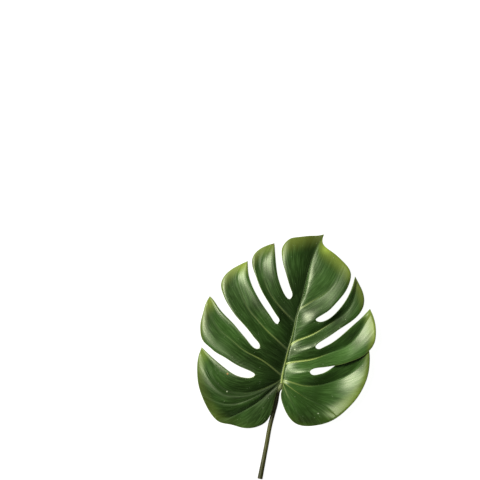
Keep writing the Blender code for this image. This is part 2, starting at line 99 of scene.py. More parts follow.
# %% Table and air
TABLE_SIZE = 24
TABLE_DROP = 0.0001
TABLE_GREY = (0.25, 0.25, 0.25, 1)
TABLE_ROUGHNESS = 0.9
TABLE_GLOW = 0.97
WHITE = (1, 1, 1, 1)
FILL = 0.04

bpy.ops.mesh.primitive_plane_add(size=TABLE_SIZE, location=(0, 0, -TABLE_DROP))
table = bpy.context.object
table.name = "table"
table_paint = bpy.data.materials.new("table_white")
table_paint.use_nodes = True
table_shader = table_paint.node_tree.nodes["Principled BSDF"]
table_shader.inputs["Base Color"].default_value = TABLE_GREY
table_shader.inputs["Roughness"].default_value = TABLE_ROUGHNESS
table_shader.inputs["Emission Color"].default_value = WHITE
table_shader.inputs["Emission Strength"].default_value = TABLE_GLOW
table.data.materials.append(table_paint)
table.visible_glossy = False

world = bpy.data.worlds.new("air")
bpy.context.scene.world = world
world.use_nodes = True
air_light = world.node_tree.nodes["Background"]
air_light.inputs["Color"].default_value = WHITE
air_light.inputs["Strength"].default_value = FILL
bpy.context.scene.view_settings.view_transform = "Standard"
print("table", TABLE_SIZE, "m wide, fill", FILL)

# %% [markdown]
# ## The lamp
# The light comes from one side, the upper left: slopes that face it are light, slopes that turn
# away are nearly black, and the wax shines where the skin leans about 21 degrees towards it. One
# big square lamp, as a window or a soft box gives, does all of that with soft edges. Its white is
# slightly warm. A lamp is given by the direction it stands in, so that it is easy to turn.

# %% One soft lamp
# azimuth and elevation in degrees, where 0 is the right of the picture and 90 its top
LAMP_AZIMUTH = 148
LAMP_ELEVATION = 48
LAMP_DISTANCE = 2.5
LAMP_WIDTH = 1.0
LAMP_POWER = 70
LAMP_COLOUR = (1.0, 0.98, 0.88)

lamp = bpy.data.lights.new("upper_left_lamp", "AREA")
lamp.size = LAMP_WIDTH
lamp.energy = LAMP_POWER
lamp.color = LAMP_COLOUR
stand = bpy.data.objects.new("upper_left_lamp", lamp)
bpy.context.scene.collection.objects.link(stand)
azimuth, elevation = np.radians((LAMP_AZIMUTH, LAMP_ELEVATION))
direction = Vector((np.cos(azimuth) * np.cos(elevation),
                    np.sin(azimuth) * np.cos(elevation), np.sin(elevation)))
stand.location = direction * LAMP_DISTANCE
stand.rotation_euler = (-direction).to_track_quat("-Z", "Y").to_euler()
print("one lamp of", LAMP_POWER, "W")

# %% [markdown]
# ## Curves through a few points
# Every edge and vein of the leaf is a smooth curve. Only a few points of each are written down,
# and a natural cubic curve runs through them, as a springy strip of wood would. The helper below
# solves the curve's bends in one small system of equations, and gives back a dense polyline.

# %% Smooth paths
KNOT_POWER = 0.7
STEPS_PER_SPAN = 24


def smooth_path(points):
    """A dense polyline on the natural cubic curve through the points."""
    p = np.array(points, float)
    gaps = np.linalg.norm(np.diff(p, axis=0), axis=1) ** KNOT_POWER
    count = len(p)
    system = np.eye(count)
    bend = np.zeros_like(p)
    for i in range(1, count - 1):
        before, after = gaps[i - 1], gaps[i]
        system[i, i - 1:i + 2] = before, 2 * (before + after), after
        bend[i] = 6 * ((p[i + 1] - p[i]) / after - (p[i] - p[i - 1]) / before)
    curvature = np.linalg.solve(system, bend)
    path = []
    for i, gap in enumerate(gaps):
        t = np.arange(STEPS_PER_SPAN)[:, None] / STEPS_PER_SPAN
        line = p[i] * (1 - t) + p[i + 1] * t
        early = curvature[i] * t * (1 - t) * (t - 2) / 6
        late = curvature[i + 1] * t * (t * t - 1) / 6
        path.append(line + gap * gap * (early + late))
    return np.vstack(path + [p[-1:]])


print("a curve through 3 points has", len(smooth_path(((0, 0), (1, 1), (2, 0)))), "points")

# %% [markdown]
# ## Walking along a path
# The blade is later woven from lines that all have the same number of points. So each path must
# tell how long it is, give points at any share of its length, and let itself be cut in two.
# Heights are kept apart from the outline: a few values, evenly spaced along a line, say how high
# it lies above the table.

# %% Shares, heights and cuts


def run_of(path):
    """Distance from the start of a polyline to each of its points, seen from above."""
    steps = np.linalg.norm(np.diff(path[:, :2], axis=0), axis=1)
    return np.concatenate([[0], np.cumsum(steps)])


def spread(path, shares):
    """Points of a polyline at the given shares of its length."""
    run = run_of(path)
    distances = np.asarray(shares) * run[-1]
    return np.stack([np.interp(distances, run, axis) for axis in path.T], axis=-1)


def cut(path, share):
    """The two parts of a path at a share of its length."""
    run = run_of(path)
    middle = spread(path, [share])
    before = run < share * run[-1]
    return np.vstack([path[before], middle]), np.vstack([middle, path[~before]])


def heights_along(values, shares):
    """Heights at the given shares of a line, on the curve through evenly spaced values."""
    places = np.linspace(0, 1, len(values))
    return np.polyval(np.polyfit(places, values, len(values) - 1), shares)


def raised(path, values):
    """The path with heights added, from evenly spaced values along it."""
    run = run_of(path)
    return np.column_stack([path, heights_along(values, run / run[-1])])


print("heights 0, 2, 0 give", round(float(heights_along((0, 2, 0), 0.25)), 2), "mm at a quarter")

# %% [markdown]
# ## How far is it to the vein?
# Skin that knows how far it is from the next vein, or from its own edge, can be coloured in any
# way: a pale line on the vein, a yellow hem along the edge. So the mesh will carry these
# distances. They are worked out once, from each point to the nearest place on a path.

# %% Distance to a path
TINY = 1e-9


def gap_to(points, path):
    """How far each point of a grid lies from a path, seen from above."""
    flat = points.reshape(-1, points.shape[-1])[:, None, :2]
    start = path[:-1, :2]
    step = np.diff(path[:, :2], axis=0)
    length = np.maximum((step ** 2).sum(axis=1), TINY)
    share = np.clip(((flat - start) * step).sum(axis=2) / length, 0, 1)
    off = flat - start - share[:, :, None] * step
    return np.sqrt((off ** 2).sum(axis=2).min(axis=1)).reshape(points.shape[:-1])


print("gap test:", gap_to(np.array([[1.0, 2.0]]), np.array([[0.0, 0.0], [3.0, 0.0]])), "mm")

# %% [markdown]
# ## The midrib
# The midrib is the spine of the blade. It starts at the joint, leans to the right, and ends in
# the tip. The two halves of the blade hang on its two sides, a little apart at the base and
# together at the tip. It lies low, because the blade is folded along it like an open book.

# %% Midrib
MIDRIB = ((0.2, -3.2), (0.9, 3), (2.5, 12.5), (5, 23.5), (9, 39.5), (16, 64.5), (20.5, 86),
          (29.5, 116.5), (36.5, 147), (45.5, 174), (52.5, 188), (58, 197.5))
MIDRIB_HEIGHTS = (12.0, 10.5, 8.0, -4.0)
MIDRIB_HALF_WIDTH = 1.8
MIDRIB_TAPER = 1.2
MIDRIB_END_SHARE = 0.2

Root = namedtuple("Root", "stations path")
midrib = smooth_path(MIDRIB)
midrib_run = run_of(midrib)
midrib_share = midrib_run / midrib_run[-1]
midrib_ahead = np.gradient(midrib, axis=0)
midrib_across = np.column_stack([midrib_ahead[:, 1], -midrib_ahead[:, 0]])
midrib_across /= np.linalg.norm(midrib_across, axis=1)[:, None]
midrib_half = MIDRIB_HALF_WIDTH * np.maximum((1 - midrib_share) ** MIDRIB_TAPER, MIDRIB_END_SHARE)
midrib_half[-1] = 0


def beside_midrib(side):
    """A line beside the midrib's middle: side runs from -1 on the left to 1 on the right."""
    path = midrib + side * midrib_across * midrib_half[:, None]
    return Root(midrib_run, raised(path, MIDRIB_HEIGHTS))


def root_at(root, stations):
    """Points of a line beside the midrib at the given distances up the midrib."""
    return np.stack([np.interp(stations, root.stations, axis) for axis in root.path.T], axis=-1)


print("the midrib is", round(midrib_run[-1], 1), "mm long")

# %% [markdown]
# ## The edge and the veins of the right half
# Seen from above, the right half has four lobes with three splits between them. Each rim below
# runs from one lobe's tip to the next: along the outer margin, round the shoulder, in along the
# split to its closed end, and out again. A vein starts on the midrib and ends on the margin. Most
# veins lie in a valley, and a few thin ones run over the swell between two valleys.

# %% Right half
# ends, shoulder and split are places in points: where veins meet the margin, where the margin
# turns into the split, and the split's closed end. root is how far up the midrib the crest that
# leads to the split begins. Heights are in mm above the table, at even steps. pale is how pale a
# vein is at the midrib and at a third of its reach, and the share of its length where that ends.
# The tip root is how far up the midrib the first strip of a half begins.
Rim = namedtuple("Rim", "points ends shoulder split root split_height lower_edge upper_edge")
Vein = namedtuple("Vein", "root points heights sunken pale")

RIGHT_RIMS = (
    Rim(points=((58, 197.5), (56, 190), (57, 184.5), (62, 179), (71.5, 172), (82.5, 162),
                (91, 152), (94, 143), (91.5, 131), (85, 118.5), (74, 105.5), (63.5, 95),
                (50, 86.5), (46.3, 82.7), (50.5, 80), (58, 81), (67, 86), (79.5, 98.5),
                (88.5, 111), (96, 127), (100, 140.5)),
        ends=(5,), shoulder=7, split=13, root=76, split_height=21.0,
        lower_edge=(20.0, 12.5), upper_edge=(18.5, 6.0)),
    Rim(points=((100, 140.5), (102.2, 136.5), (106, 129), (110, 120), (112, 107.5),
                (110, 98.5), (103, 88), (92, 79), (79.5, 71), (67, 62.5), (56, 55.5),
                (47.5, 49.5), (45.9, 46), (49.5, 43.5), (56, 45.5), (67, 51), (85, 64.5),
                (97.5, 75.5), (108.5, 85), (120, 97)),
        ends=(1,), shoulder=4, split=12, root=40, split_height=23.5,
        lower_edge=(21.0, 10.0), upper_edge=(16.0, 6.0)),
    Rim(points=((120, 97), (121.6, 93), (124.5, 85.5), (127, 74), (127.3, 62), (125, 50.5),
                (119, 41.5), (108.5, 33), (95.5, 27.5), (81.5, 23), (70.5, 21), (56, 19),
                (43, 17), (38.4, 13), (41.5, 9), (49, 9), (58, 11.5), (71.5, 20),
                (86.5, 31), (101.5, 41), (116.5, 48.5)),
        ends=(1,), shoulder=5, split=13, root=13, split_height=23.5,
        lower_edge=(19.0, 17.5), upper_edge=(14.0, 12.0)),
    Rim(points=((116.5, 48.5), (117.6, 44.5), (118.8, 38), (119.2, 27), (117, 9),
                (112, -5.5), (103, -21.5), (90.5, -36), (76, -48.5), (61.5, -56.5),
                (47.5, -60.5), (33.5, -61.5), (22, -59), (13, -52), (6, -41),
                (1.3, -28.5), (0, -16), (2.2, -8)),
        ends=(1, 8, 11), shoulder=13, split=None, root=0, split_height=None,
        lower_edge=(9.5, 6.0), upper_edge=None),
)
RIGHT_VEINS = (
    (Vein(103.5, ((33, 102), (43.5, 108.5), (56, 116.5), (67, 127), (74.5, 140)),
          (12.5, 12.0, 6.0), True, (0.4, 0.28, 0.8)),),
    (Vein(53, ((18.5, 53), (29.5, 57.5), (45.5, 64.5), (61.5, 74.5), (74, 82.5), (87, 93),
               (95.5, 105.5), (100.5, 119.5)),
          (14.0, 12.5, 4.0), True, (1.0, 0.9, 0.65)),),
    (Vein(27, ((13, 25), (26, 27), (42, 29.5), (58, 35), (74, 41), (88.5, 47.5),
               (104.5, 64.5), (113, 79)), (14.0, 9.5, 11.0), True, (1.0, 1.0, 0.55)),),
    (Vein(4.5, ((17, -2.5), (29.5, -6), (45.5, -6.5), (65.5, -2.5), (83, 4.5), (97.5, 13.5),
                (110, 26)), (12.0, 4.0, 8.0, 15.0), True, (0.6, 0.4, 0.4)),
     Vein(2.5, ((20.5, -14.5), (34.5, -23.5), (49, -30.5), (63.5, -38.5)),
          (14.0, 7.0, 7.0, 14.0), False, (0.6, 0.5, 0.7)),
     Vein(1, ((7.5, -17), (13, -26.5), (21.5, -41)), (14.0, 11.0, -4.0), False,
          (0.4, 0.3, 0.6))),
)
RIGHT_TIP_ROOT = 155
print("right half:", len(RIGHT_RIMS), "lobes,", sum(len(g) for g in RIGHT_VEINS), "side veins")

# %% [markdown]
# ## The edge and the veins of the left half
# The left half is its own shape, not a mirror image: it has five lobes and four splits, and its
# side veins leave the midrib at other places. Leaves of this kind are never quite even, and the
# eye notices at once when they are.

# %% Left half
LEFT_RIMS = (
    Rim(points=((58, 197.5), (51, 196), (38.5, 195.5), (24.5, 194), (13, 192), (6, 186.5),
                (1.5, 179), (1, 170.5), (2.5, 159.5), (6, 147), (13, 124), (15, 115.5),
                (11.5, 110.3), (7, 113), (-1, 129), (-5, 143), (-7.2, 160), (-8.3, 174),
                (-9, 185.5)),
        ends=(), shoulder=6, split=12, root=99.5, split_height=13.5,
        lower_edge=(15.0, 8.0), upper_edge=(18.0, 10.0)),
    Rim(points=((-9, 185.5), (-14, 184.2), (-25.5, 179.5), (-35, 172), (-39, 163),
                (-38, 152.5), (-34, 141.5), (-29.5, 129), (-22.5, 115), (-14.5, 102),
                (-5.5, 88), (-2.3, 81.5), (-4.8, 77), (-9.5, 80), (-13.5, 86), (-26, 104),
                (-32.5, 115), (-37, 123.5), (-41.5, 134.5), (-44.3, 146), (-45, 161.5)),
        ends=(1,), shoulder=4, split=12, root=64, split_height=21.0,
        lower_edge=(18.5, 8.0), upper_edge=(17.0, 7.5)),
    Rim(points=((-45, 161.5), (-50, 159.2), (-60.5, 154), (-71, 147), (-78.5, 138),
                (-81, 128), (-78.5, 118), (-74, 107.5), (-67.5, 97), (-61, 88), (-51, 77),
                (-44, 69), (-35, 57.5), (-29.3, 50), (-29.5, 45), (-34, 44), (-46, 55.5),
                (-56.5, 68), (-64, 77), (-76.5, 89.5), (-86, 101), (-90.5, 108), (-96, 114)),
        ends=(1,), shoulder=5, split=14, root=26, split_height=24.0,
        lower_edge=(19.0, 7.0), upper_edge=(18.5, 6.0)),
    Rim(points=((-96, 114), (-98.6, 110), (-102, 103), (-105.2, 91.5), (-108.2, 80),
                (-109, 69.5), (-105.5, 54.5), (-96, 45.5), (-89, 39.5), (-76.5, 32.5),
                (-64, 24.5), (-51, 18), (-39.5, 13), (-35.4, 9), (-40, 5.5), (-51, 5.3),
                (-62, 8.5), (-73, 15.5), (-82, 22.5), (-90.5, 29.5), (-100, 38), (-107, 45)),
        ends=(1,), shoulder=5, split=13, root=6, split_height=23.0,
        lower_edge=(17.0, 5.0), upper_edge=(16.5, 4.5)),
    Rim(points=((-107, 45), (-108.6, 41), (-110.8, 35), (-112.8, 25), (-113.2, 11),
                (-111.5, -5.5), (-107.3, -19.5), (-100, -36), (-91, -49.5),
                (-82, -56.5), (-67.5, -59.5), (-55, -63), (-42.5, -64), (-29.5, -61),
                (-19, -53.5), (-12.5, -39), (-10, -27.5), (-7, -16), (-5.2, -8.5)),
        ends=(1, 6, 9), shoulder=13, split=None, root=0, split_height=None,
        lower_edge=(12.0, 6.0), upper_edge=None),
)
LEFT_VEINS = (
    (),
    (Vein(85, ((6, 91.5), (-6.5, 105.5), (-15.5, 118.5), (-22.5, 134.5), (-26, 149),
               (-25, 166)), (12.5, 11.0, 4.5), True, (0.0, 0.2, 0.9)),),
    (Vein(46, ((-8, 57.5), (-22.5, 71.5), (-33.5, 84), (-44, 97), (-51, 111), (-56.5, 125.5),
               (-59.5, 142)), (13.5, 10.5, 4.0), True, (0.05, 0.35, 0.9)),),
    (Vein(11, ((-12, 18), (-26, 28.5), (-40.5, 36), (-55, 45), (-69, 57.5), (-82, 68),
               (-90, 78), (-95.5, 93)), (13.5, 9.0, 2.5), True, (0.1, 0.4, 0.9)),),
    (Vein(4, ((-15.5, -6.5), (-26, -11), (-42.5, -15.5), (-56.5, -16.5), (-70, -14.5),
              (-83.5, -7), (-97, 12.5)), (12.0, 8.0, 2.0), True, (0.1, 0.0, 1.0)),
     Vein(2.5, ((-25.5, -15.5), (-48.5, -26.5), (-74.5, -31)), (14.5, 12.0, 3.0), False,
          (0.0, 0.0, 1.0)),
     Vein(1, ((-15.5, -14.5), (-29.5, -27), (-46, -37.5), (-64, -47.5)),
          (11.0, 6.5, -8.0), True, (0.1, 0.0, 0.3))),
)
LEFT_TIP_ROOT = 121
print("left half:", len(LEFT_RIMS), "lobes,", sum(len(g) for g in LEFT_VEINS), "side veins")

# %% [markdown]
# ## Lines that carry the cloth
# The blade is woven like a fan. Its sticks are the veins, the crests between them and the edges
# of the splits, and each stick has the same number of points, from the midrib to the margin. The
# first points lead to the level of the split's closed end, and the others follow the split. An
# edge leaves the closed end level and takes up its own slope within a few millimetres, because a
# sudden bend there would show as a crease across the whole lobe.

# %% Sticks of the fan
ROWS_TO_SPLIT = 12
ROWS_ALONG_SPLIT = 36
ROW_CROWDING = 0.7
SPLIT_HALF_WIDTH = 3.2
EDGE_EASE = 6.0
PLAIN_VEIN = 1.0
THIN_VEIN = 0.55
NO_VEIN = 0.0
NOT_PALE = (0.0, 0.0, 1.0)

Line = namedtuple("Line", "rows root sunken strength beyond pale")


def rows_of(inner, outer):
    """A line's points: evenly to the level of the split's closed end, crowded just past it."""
    t = np.linspace(0, 1, ROWS_ALONG_SPLIT + 1)
    near = spread(inner, np.linspace(0, 1, ROWS_TO_SPLIT + 1))
    far = spread(outer, t * (1 - ROW_CROWDING) + ROW_CROWDING * t * t)
    return np.vstack([near[:-1], far])


def nearest_share(path, point):
    """The share of a path's length at which it comes nearest to a point."""
    run = run_of(path)
    return run[np.argmin(np.linalg.norm(path[:, :2] - point, axis=1))] / run[-1]


def vein_path(root, vein, end):
    """A vein's dense path from the midrib to its end on the margin, with its heights."""
    start = root_at(root, vein.root)
    path = smooth_path((start[:2], *vein.points, end))
    return raised(path, (start[2], *vein.heights))


def crest_to_split(root, rim):
    """The crest from the midrib to a split's closed end, steep at first, level at the split."""
    start = root_at(root, rim.root)
    share = np.linspace(0, 1, STEPS_PER_SPAN + 1)
    flat = start[:2] + share[:, None] * (np.array(rim.points[rim.split]) - start[:2])
    rise = np.sin(share * np.pi / 2) * (rim.split_height - start[2])
    return np.column_stack([flat, start[2] + rise])


def split_line(crest, edge, root):
    """A crest that goes on as one edge of its split, and how far the split's middle lies off."""
    rows = rows_of(crest, edge)
    ahead = crest[-1, :2] - crest[0, :2]
    ahead /= np.linalg.norm(ahead)
    out = rows[:, :2] - crest[-1, :2]
    aside = np.abs(out[:, 0] * ahead[1] - out[:, 1] * ahead[0])
    aside[:ROWS_TO_SPLIT] = 0
    beyond = np.minimum(np.maximum.accumulate(aside), SPLIT_HALF_WIDTH)
    run = run_of(rows[ROWS_TO_SPLIT:])
    slope = (rows[ROWS_TO_SPLIT + 1, 2] - rows[ROWS_TO_SPLIT, 2]) / run[1]
    rows[ROWS_TO_SPLIT:, 2] -= slope * run * np.exp(-run / EDGE_EASE)
    return Line(rows, root, False, NO_VEIN, beyond[:, None], NOT_PALE)


print("each line has", ROWS_TO_SPLIT + ROWS_ALONG_SPLIT + 1, "points")

# %% [markdown]
# ## The cloth between two lines
# Between two neighbouring lines the skin swells up from the sunken vein to the crest. A sine
# gives that swell: steep beside the vein, where the fold is sharp, and level on the crest. Points
# are crowded beside the veins, where the surface turns fastest.

# %% From vein to crest
COLUMN_CROWDING = 1.5


def crowded(columns, a, b):
    """Where the columns between two lines lie, crowded beside the sunken ones."""
    even = np.linspace(0, 1, columns + 1)
    if a.sunken and b.sunken:
        return (1 - np.cos(np.pi * even)) / 2
    if a.sunken:
        return even ** COLUMN_CROWDING
    if b.sunken:
        return 1 - (1 - even) ** COLUMN_CROWDING
    return even


def swell(place, a, b):
    """How far the height has gone from one line's to the other's."""
    if a.sunken and b.sunken:
        return place
    if a.sunken:
        return np.sin(np.pi / 2 * place)
    if b.sunken:
        return 1 - np.cos(np.pi / 2 * place)
    return (1 - np.cos(np.pi * place)) / 2


print("halfway from a vein to a crest the skin has risen by", round(float(np.sin(np.pi / 4)), 2))

# %% [markdown]
# ## Bellies
# The even swell alone looks like pressed tin. On the real leaf the strips have their own soft
# hollows and humps, and the shine on the skin shows them clearly. So a strip can get up to four
# bellies, which lift or sink its middle one after another on the way out. Their heights are chosen
# by comparing the light and dark places with the real ones. Near a crest they die away, so that
# the skin passes over it without a fold.

# %% Soft humps and hollows
BELLY_PLACES = (0.15, 0.4, 0.65, 0.88)
BELLY_LENGTHS = (0.14, 0.17, 0.17, 0.14)
ROOTED = 0.08
OPEN_SHARE = 0.45


def fold_share(line, past_split):
    """1 where the skin may fold at a line, and 0 where it has to pass smoothly over it."""
    if line.sunken:
        return 1.0
    opened = np.minimum(past_split / OPEN_SHARE, 1)
    return opened * opened * (3 - 2 * opened) if line.strength == NO_VEIN else 0.0


def bellied(u, v, a, b, past_split, swells):
    """How far a strip swells out or in between its two lines, beyond its even form."""
    fold_a, fold_b = fold_share(a, past_split), fold_share(b, past_split)
    soft = (fold_a + (1 - fold_a) * v) * (fold_b + (1 - fold_b) * (1 - v))
    waves = sum(height * np.exp(-((u - place) / length) ** 2)
                for height, place, length in zip(swells, BELLY_PLACES, BELLY_LENGTHS))
    return np.minimum(u / ROOTED, 1) * soft * (waves * np.sin(np.pi * v))


print("a strip can have", len(BELLY_PLACES), "bellies")

# %% [markdown]
# ## Past the closed end without a bend
# At the level of a split's closed end the lines of the fan begin to bend aside, round the split,
# and the heights get a slight bend there that no leaf has. It hardly shows in the shape, but the
# shine breaks off at it. So each lengthwise line is smoothed over a few millimetres round that
# level. Where the line steps aside, the skin's own slope across is first taken out of its heights
# and put back afterwards, because smoothing it away would make a crease.

# %% Smooth heights round the split's level
EVENING = 8.0
EVENING_REACH = 22.0
LEVEL_ROWS = 3


def evened(grid, along, window):
    """The heights with the bend at the level of the split smoothed out along the strip."""
    heights = grid[:, :, 2].copy()
    level = grid[ROWS_TO_SPLIT]
    next_column = np.gradient(level, axis=0)
    for j in np.flatnonzero(window > 0):
        ahead = level[j] - grid[ROWS_TO_SPLIT - LEVEL_ROWS, j]
        ahead /= np.linalg.norm(ahead[:2])
        aside = np.array((-ahead[1], ahead[0]))
        forward, sideways = next_column[j, :2] @ ahead[:2], next_column[j, :2] @ aside
        cross_slope = (next_column[j, 2] - ahead[2] * forward) / sideways
        tilt = (grid[:, j, :2] - level[j, :2]) @ aside * cross_slope
        s = along[:, j]
        weights = np.exp(-((s[:, None] - s) / EVENING) ** 2) * np.gradient(s)
        weights /= weights.sum(axis=1)[:, None]
        smooth = weights @ (grid[:, j, 2] - tilt) + tilt
        reach = np.exp(-((s - s[ROWS_TO_SPLIT]) / EVENING_REACH) ** 2) * window[j]
        reach *= np.minimum(s / EVENING / 2, 1) * np.minimum((s[-1] - s) / EVENING / 2, 1)
        heights[:, j] += reach * (smooth - grid[:, j, 2])
    return heights


print("heights are smoothed over", EVENING, "mm")

# %% [markdown]
# ## A strip of skin
# Now a whole strip can be woven. Its grid runs from line to line and from the midrib to the
# margin, a little arched between two veins, and rolled down at a free edge. The pull towards the
# margin is felt only near it, so the rows inside stay as even as the lines are.

# %% Weave one strip
ARCH_BETWEEN_VEINS = 0.09
EDGE_ROLL = 1.6
EDGE_ROLL_SHARPNESS = 6
MARGIN_PULL = 3


def strip_grid(a, b, margin, root, u, v, width, swells):
    """Places of a strip's points: rows at shares u of the lines, columns at shares v between."""
    grid = a.rows[:, None] * (1 - v[:, None]) + b.rows[:, None] * v[:, None]
    inner = root_at(root, a.root + (b.root - a.root) * v)
    outer = spread(margin, v)
    away = u[:, :, None]
    grid[:, :, :2] += (1 - away) * (inner - grid[0])[None, :, :2]
    grid[:, :, :2] += away ** MARGIN_PULL * (outer[:, :2] - grid[-1, :, :2])[None]
    rise = swell((v * width + a.beyond) / (width + a.beyond + b.beyond), a, b)
    grid[:, :, 2] = a.rows[:, None, 2] + (b.rows[:, None, 2] - a.rows[:, None, 2]) * rise
    if a.strength and b.strength:
        grid[:, :, 2] += ARCH_BETWEEN_VEINS * width * 4 * u * (1 - u) * np.sin(np.pi * v)
    past_split = np.maximum(u * (len(u) - 1) - ROWS_TO_SPLIT, 0) / ROWS_ALONG_SPLIT
    grid[:, :, 2] += bellied(u, v, a, b, past_split, swells)
    for line, nearness in ((a, 1 - v), (b, v)):
        if line.strength == NO_VEIN:
            grid[:, :, 2] -= EDGE_ROLL * past_split * nearness ** EDGE_ROLL_SHARPNESS
    return grid


print("a free edge is rolled down by", EDGE_ROLL, "mm at the margin")

# %% [markdown]
# ## What the skin knows
# The grid's lengthwise lines run the way the leaf's fine ribs do, so its numbers double as a map
# of the grain of the skin. Each point also learns how far the next vein and the next free edge
# are, how light and how young the skin is, and how pale the vein beside it is. The finishes are
# mixed from that later.

# %% A strip and what it knows
EDGE_WINDOW = 0.25
LOOK_PLACES = (0, 0.3, 0.7, 1)
FAR = 40.0

# points: places in mm. flow: mm across the grain, mm from the midrib, and mm left to the margin.
# gaps: mm to the nearest vein, mm to the nearest free edge, and how wide the strip is here as a
# share of its mean width. looks: how light the skin is, partly painted light and shade, how yellow
# its margin is, and how pale the nearest vein is.
Strip = namedtuple("Strip", "points flow gaps looks")


def strip(a, b, margin, edges, root, columns, offset, swells, own_looks):
    """The strip of skin between two lines, with what each of its points knows."""
    u = np.linspace(0, 1, len(a.rows))[:, None]
    v = crowded(columns, a, b)
    width = np.linalg.norm(a.rows[:, None, :2] - b.rows[:, None, :2], axis=2)
    grid = strip_grid(a, b, margin, root, u, v, width, swells)
    steps = np.linalg.norm(np.diff(grid[:, :, :2], axis=0), axis=2)
    along = np.vstack([np.zeros(columns + 1), np.cumsum(steps, axis=0)])
    across = np.broadcast_to(offset + v * width.mean(), along.shape)
    window = np.ones(columns + 1)
    for line, off in ((a, v), (b, 1 - v)):
        if line.strength == NO_VEIN:
            window *= np.clip(off / EDGE_WINDOW, 0, 1)
    grid[:, :, 2] = evened(grid, along, window)
    vein_gap = np.full(along.shape, FAR)
    paleness = np.zeros(along.shape)
    for line in (a, b):
        if line.strength:
            gap = gap_to(grid, line.rows) / line.strength
            first, then, reach = line.pale
            pale = np.interp(u, (0, reach / 3, reach), (first, then, 0))
            paleness = np.where(gap < vein_gap, pale, paleness)
            vein_gap = np.minimum(vein_gap, gap)
    rim_gap = np.min([gap_to(grid, edge) for edge in edges], axis=0)
    flow = np.stack([across, along, along[-1] - along], axis=-1)
    # how light the strip is: partly its own colour and partly painted light and shade
    tone_and_painted_light, youth = (np.broadcast_to(np.interp(v, LOOK_PLACES, look), along.shape)
                   for look in own_looks)
    width_share = np.broadcast_to(np.minimum(width / width.mean(), 1), along.shape)
    gaps = np.stack([vein_gap, rim_gap, width_share], axis=-1)
    looks = np.stack([tone_and_painted_light, youth, paleness], axis=-1)
    return Strip(grid, flow, gaps, looks), offset + width.mean()


print("each point knows", 3 * len(Strip._fields[1:]), "numbers")

# %% [markdown]
# ## What sets the strips apart
# These tables hold one entry for each strip, from the tip down to the base: the heights of its
# four bellies in millimetres, and then how light its skin is beside the others and how yellow its
# margin. How light a strip is comes partly from its own colour and partly from painted light and
# shade: strips whose slopes catch the lamp's shine are painted lighter, strips that turn from it
# darker. No two strips are alike on the real leaf, and most of its charm lies in that. The
# columns say how finely a strip is divided, as wide strips need more points.

# %% Tables of the strips
SIDE_STEPS = 6
RIGHT_COLUMNS = ((7, 4), (4, 5), (4, 5), (4, 6, 4, 4))
LEFT_COLUMNS = ((9,), (4, 4), (4, 4), (4, 4), (4, 5, 4, 4))
EVEN = (0, 0, 0, 0)
RIGHT_SWELLS = ((0, -1, -1.5, 0), (0, 0, -1, -1), (0, 0, -1, 0), (-1, -1, -1, -1), EVEN,
                (-1, 0, -1, 0), (0, 0, -1, 0), (0, 0, -2, 0), EVEN, EVEN)
LEFT_SWELLS = (EVEN, EVEN, (0, 0, -2, -2), EVEN, (0, 0, -2, -2), EVEN, EVEN, EVEN, EVEN, EVEN,
               EVEN)
# how light each strip is beside the others, partly its own colour and partly painted light and
# shade for lobes that catch the lamp's shine or turn from it, and how yellow its margin is
RIGHT_LOOKS = ((1.15, 1.0), (1.0, 1.0), (0.85, 1.0), (0.85, 0.9), (1.1, 0.7), (1.3, 1.2),
               (1.09, 0.6), (1.02, 0.7), (0.98, 0.1), (0.97, 0.2))
LEFT_LOOKS = ((0.92, 1.2), (0.9, 0.9), (1.0, 1.0), (1.05, 1.1), (0.89, 1.1), (0.96, 1.1),
              (0.92, 1.0), (0.86, 0.7), (0.82, 0.5), (0.82, 0.5), (0.9, 0.1))
print("deepest belly:", np.min(RIGHT_SWELLS + LEFT_SWELLS), "mm")

# %% [markdown]
# ## Half a blade
# One half is the row of its strips from the tip down to the base. At each split two lines leave
# the same crest, one for each edge, so the split opens by itself where they part. A vein meets
# the level of the split beside it, which keeps the rows of the grid square to the veins.

# %% Lines beside a split
PLAIN_SHARE = 0.12


def split_level(group, paths, upper, rim):
    """The share of a vein's length that lies at the level of the splits beside it."""
    shares = []
    if group and upper:
        shares.append(nearest_share(paths[0], upper.rows[ROWS_TO_SPLIT, :2]))
    if group and rim.split:
        shares.append(nearest_share(paths[-1], rim.points[rim.split]))
    return np.mean(shares) if shares else PLAIN_SHARE


def split_lines(root, rim, inward, outward):
    """The lines along both edges of a split, which share the crest that leads to it."""
    crest = crest_to_split(root, rim)
    lower = raised(inward[::-1], (rim.split_height, *rim.lower_edge))
    upper = raised(outward, (rim.split_height, *rim.upper_edge))
    return split_line(crest, lower, rim.root), split_line(crest, upper, rim.root)


def vein_line(vein, path, share):
    """A vein as a line of the fan, cut at the level of the split beside it."""
    strength = PLAIN_VEIN if vein.sunken else THIN_VEIN
    return Line(rows_of(*cut(path, share)), vein.root, vein.sunken, strength, 0, vein.pale)


def looks_at(looks, i):
    """A strip's looks at four places across it, blended with its neighbours' at its sides."""
    own = np.array(looks[i])
    before = (own + looks[max(i - 1, 0)]) / 2
    after = (own + looks[min(i + 1, len(looks) - 1)]) / 2
    return np.array((before, own, own, after)).T


print("splits:", sum(rim.split is not None for rim in RIGHT_RIMS + LEFT_RIMS))

# %% [markdown]
# ## All strips of both halves
# The first line of a half is the upper end of the midrib itself, and the last one is the lower
# margin. Between them each lobe takes the edge that the split above it has left, its veins, and
# the edge of its own split, and a strip is woven between each line and the next.

# %% Weave both halves


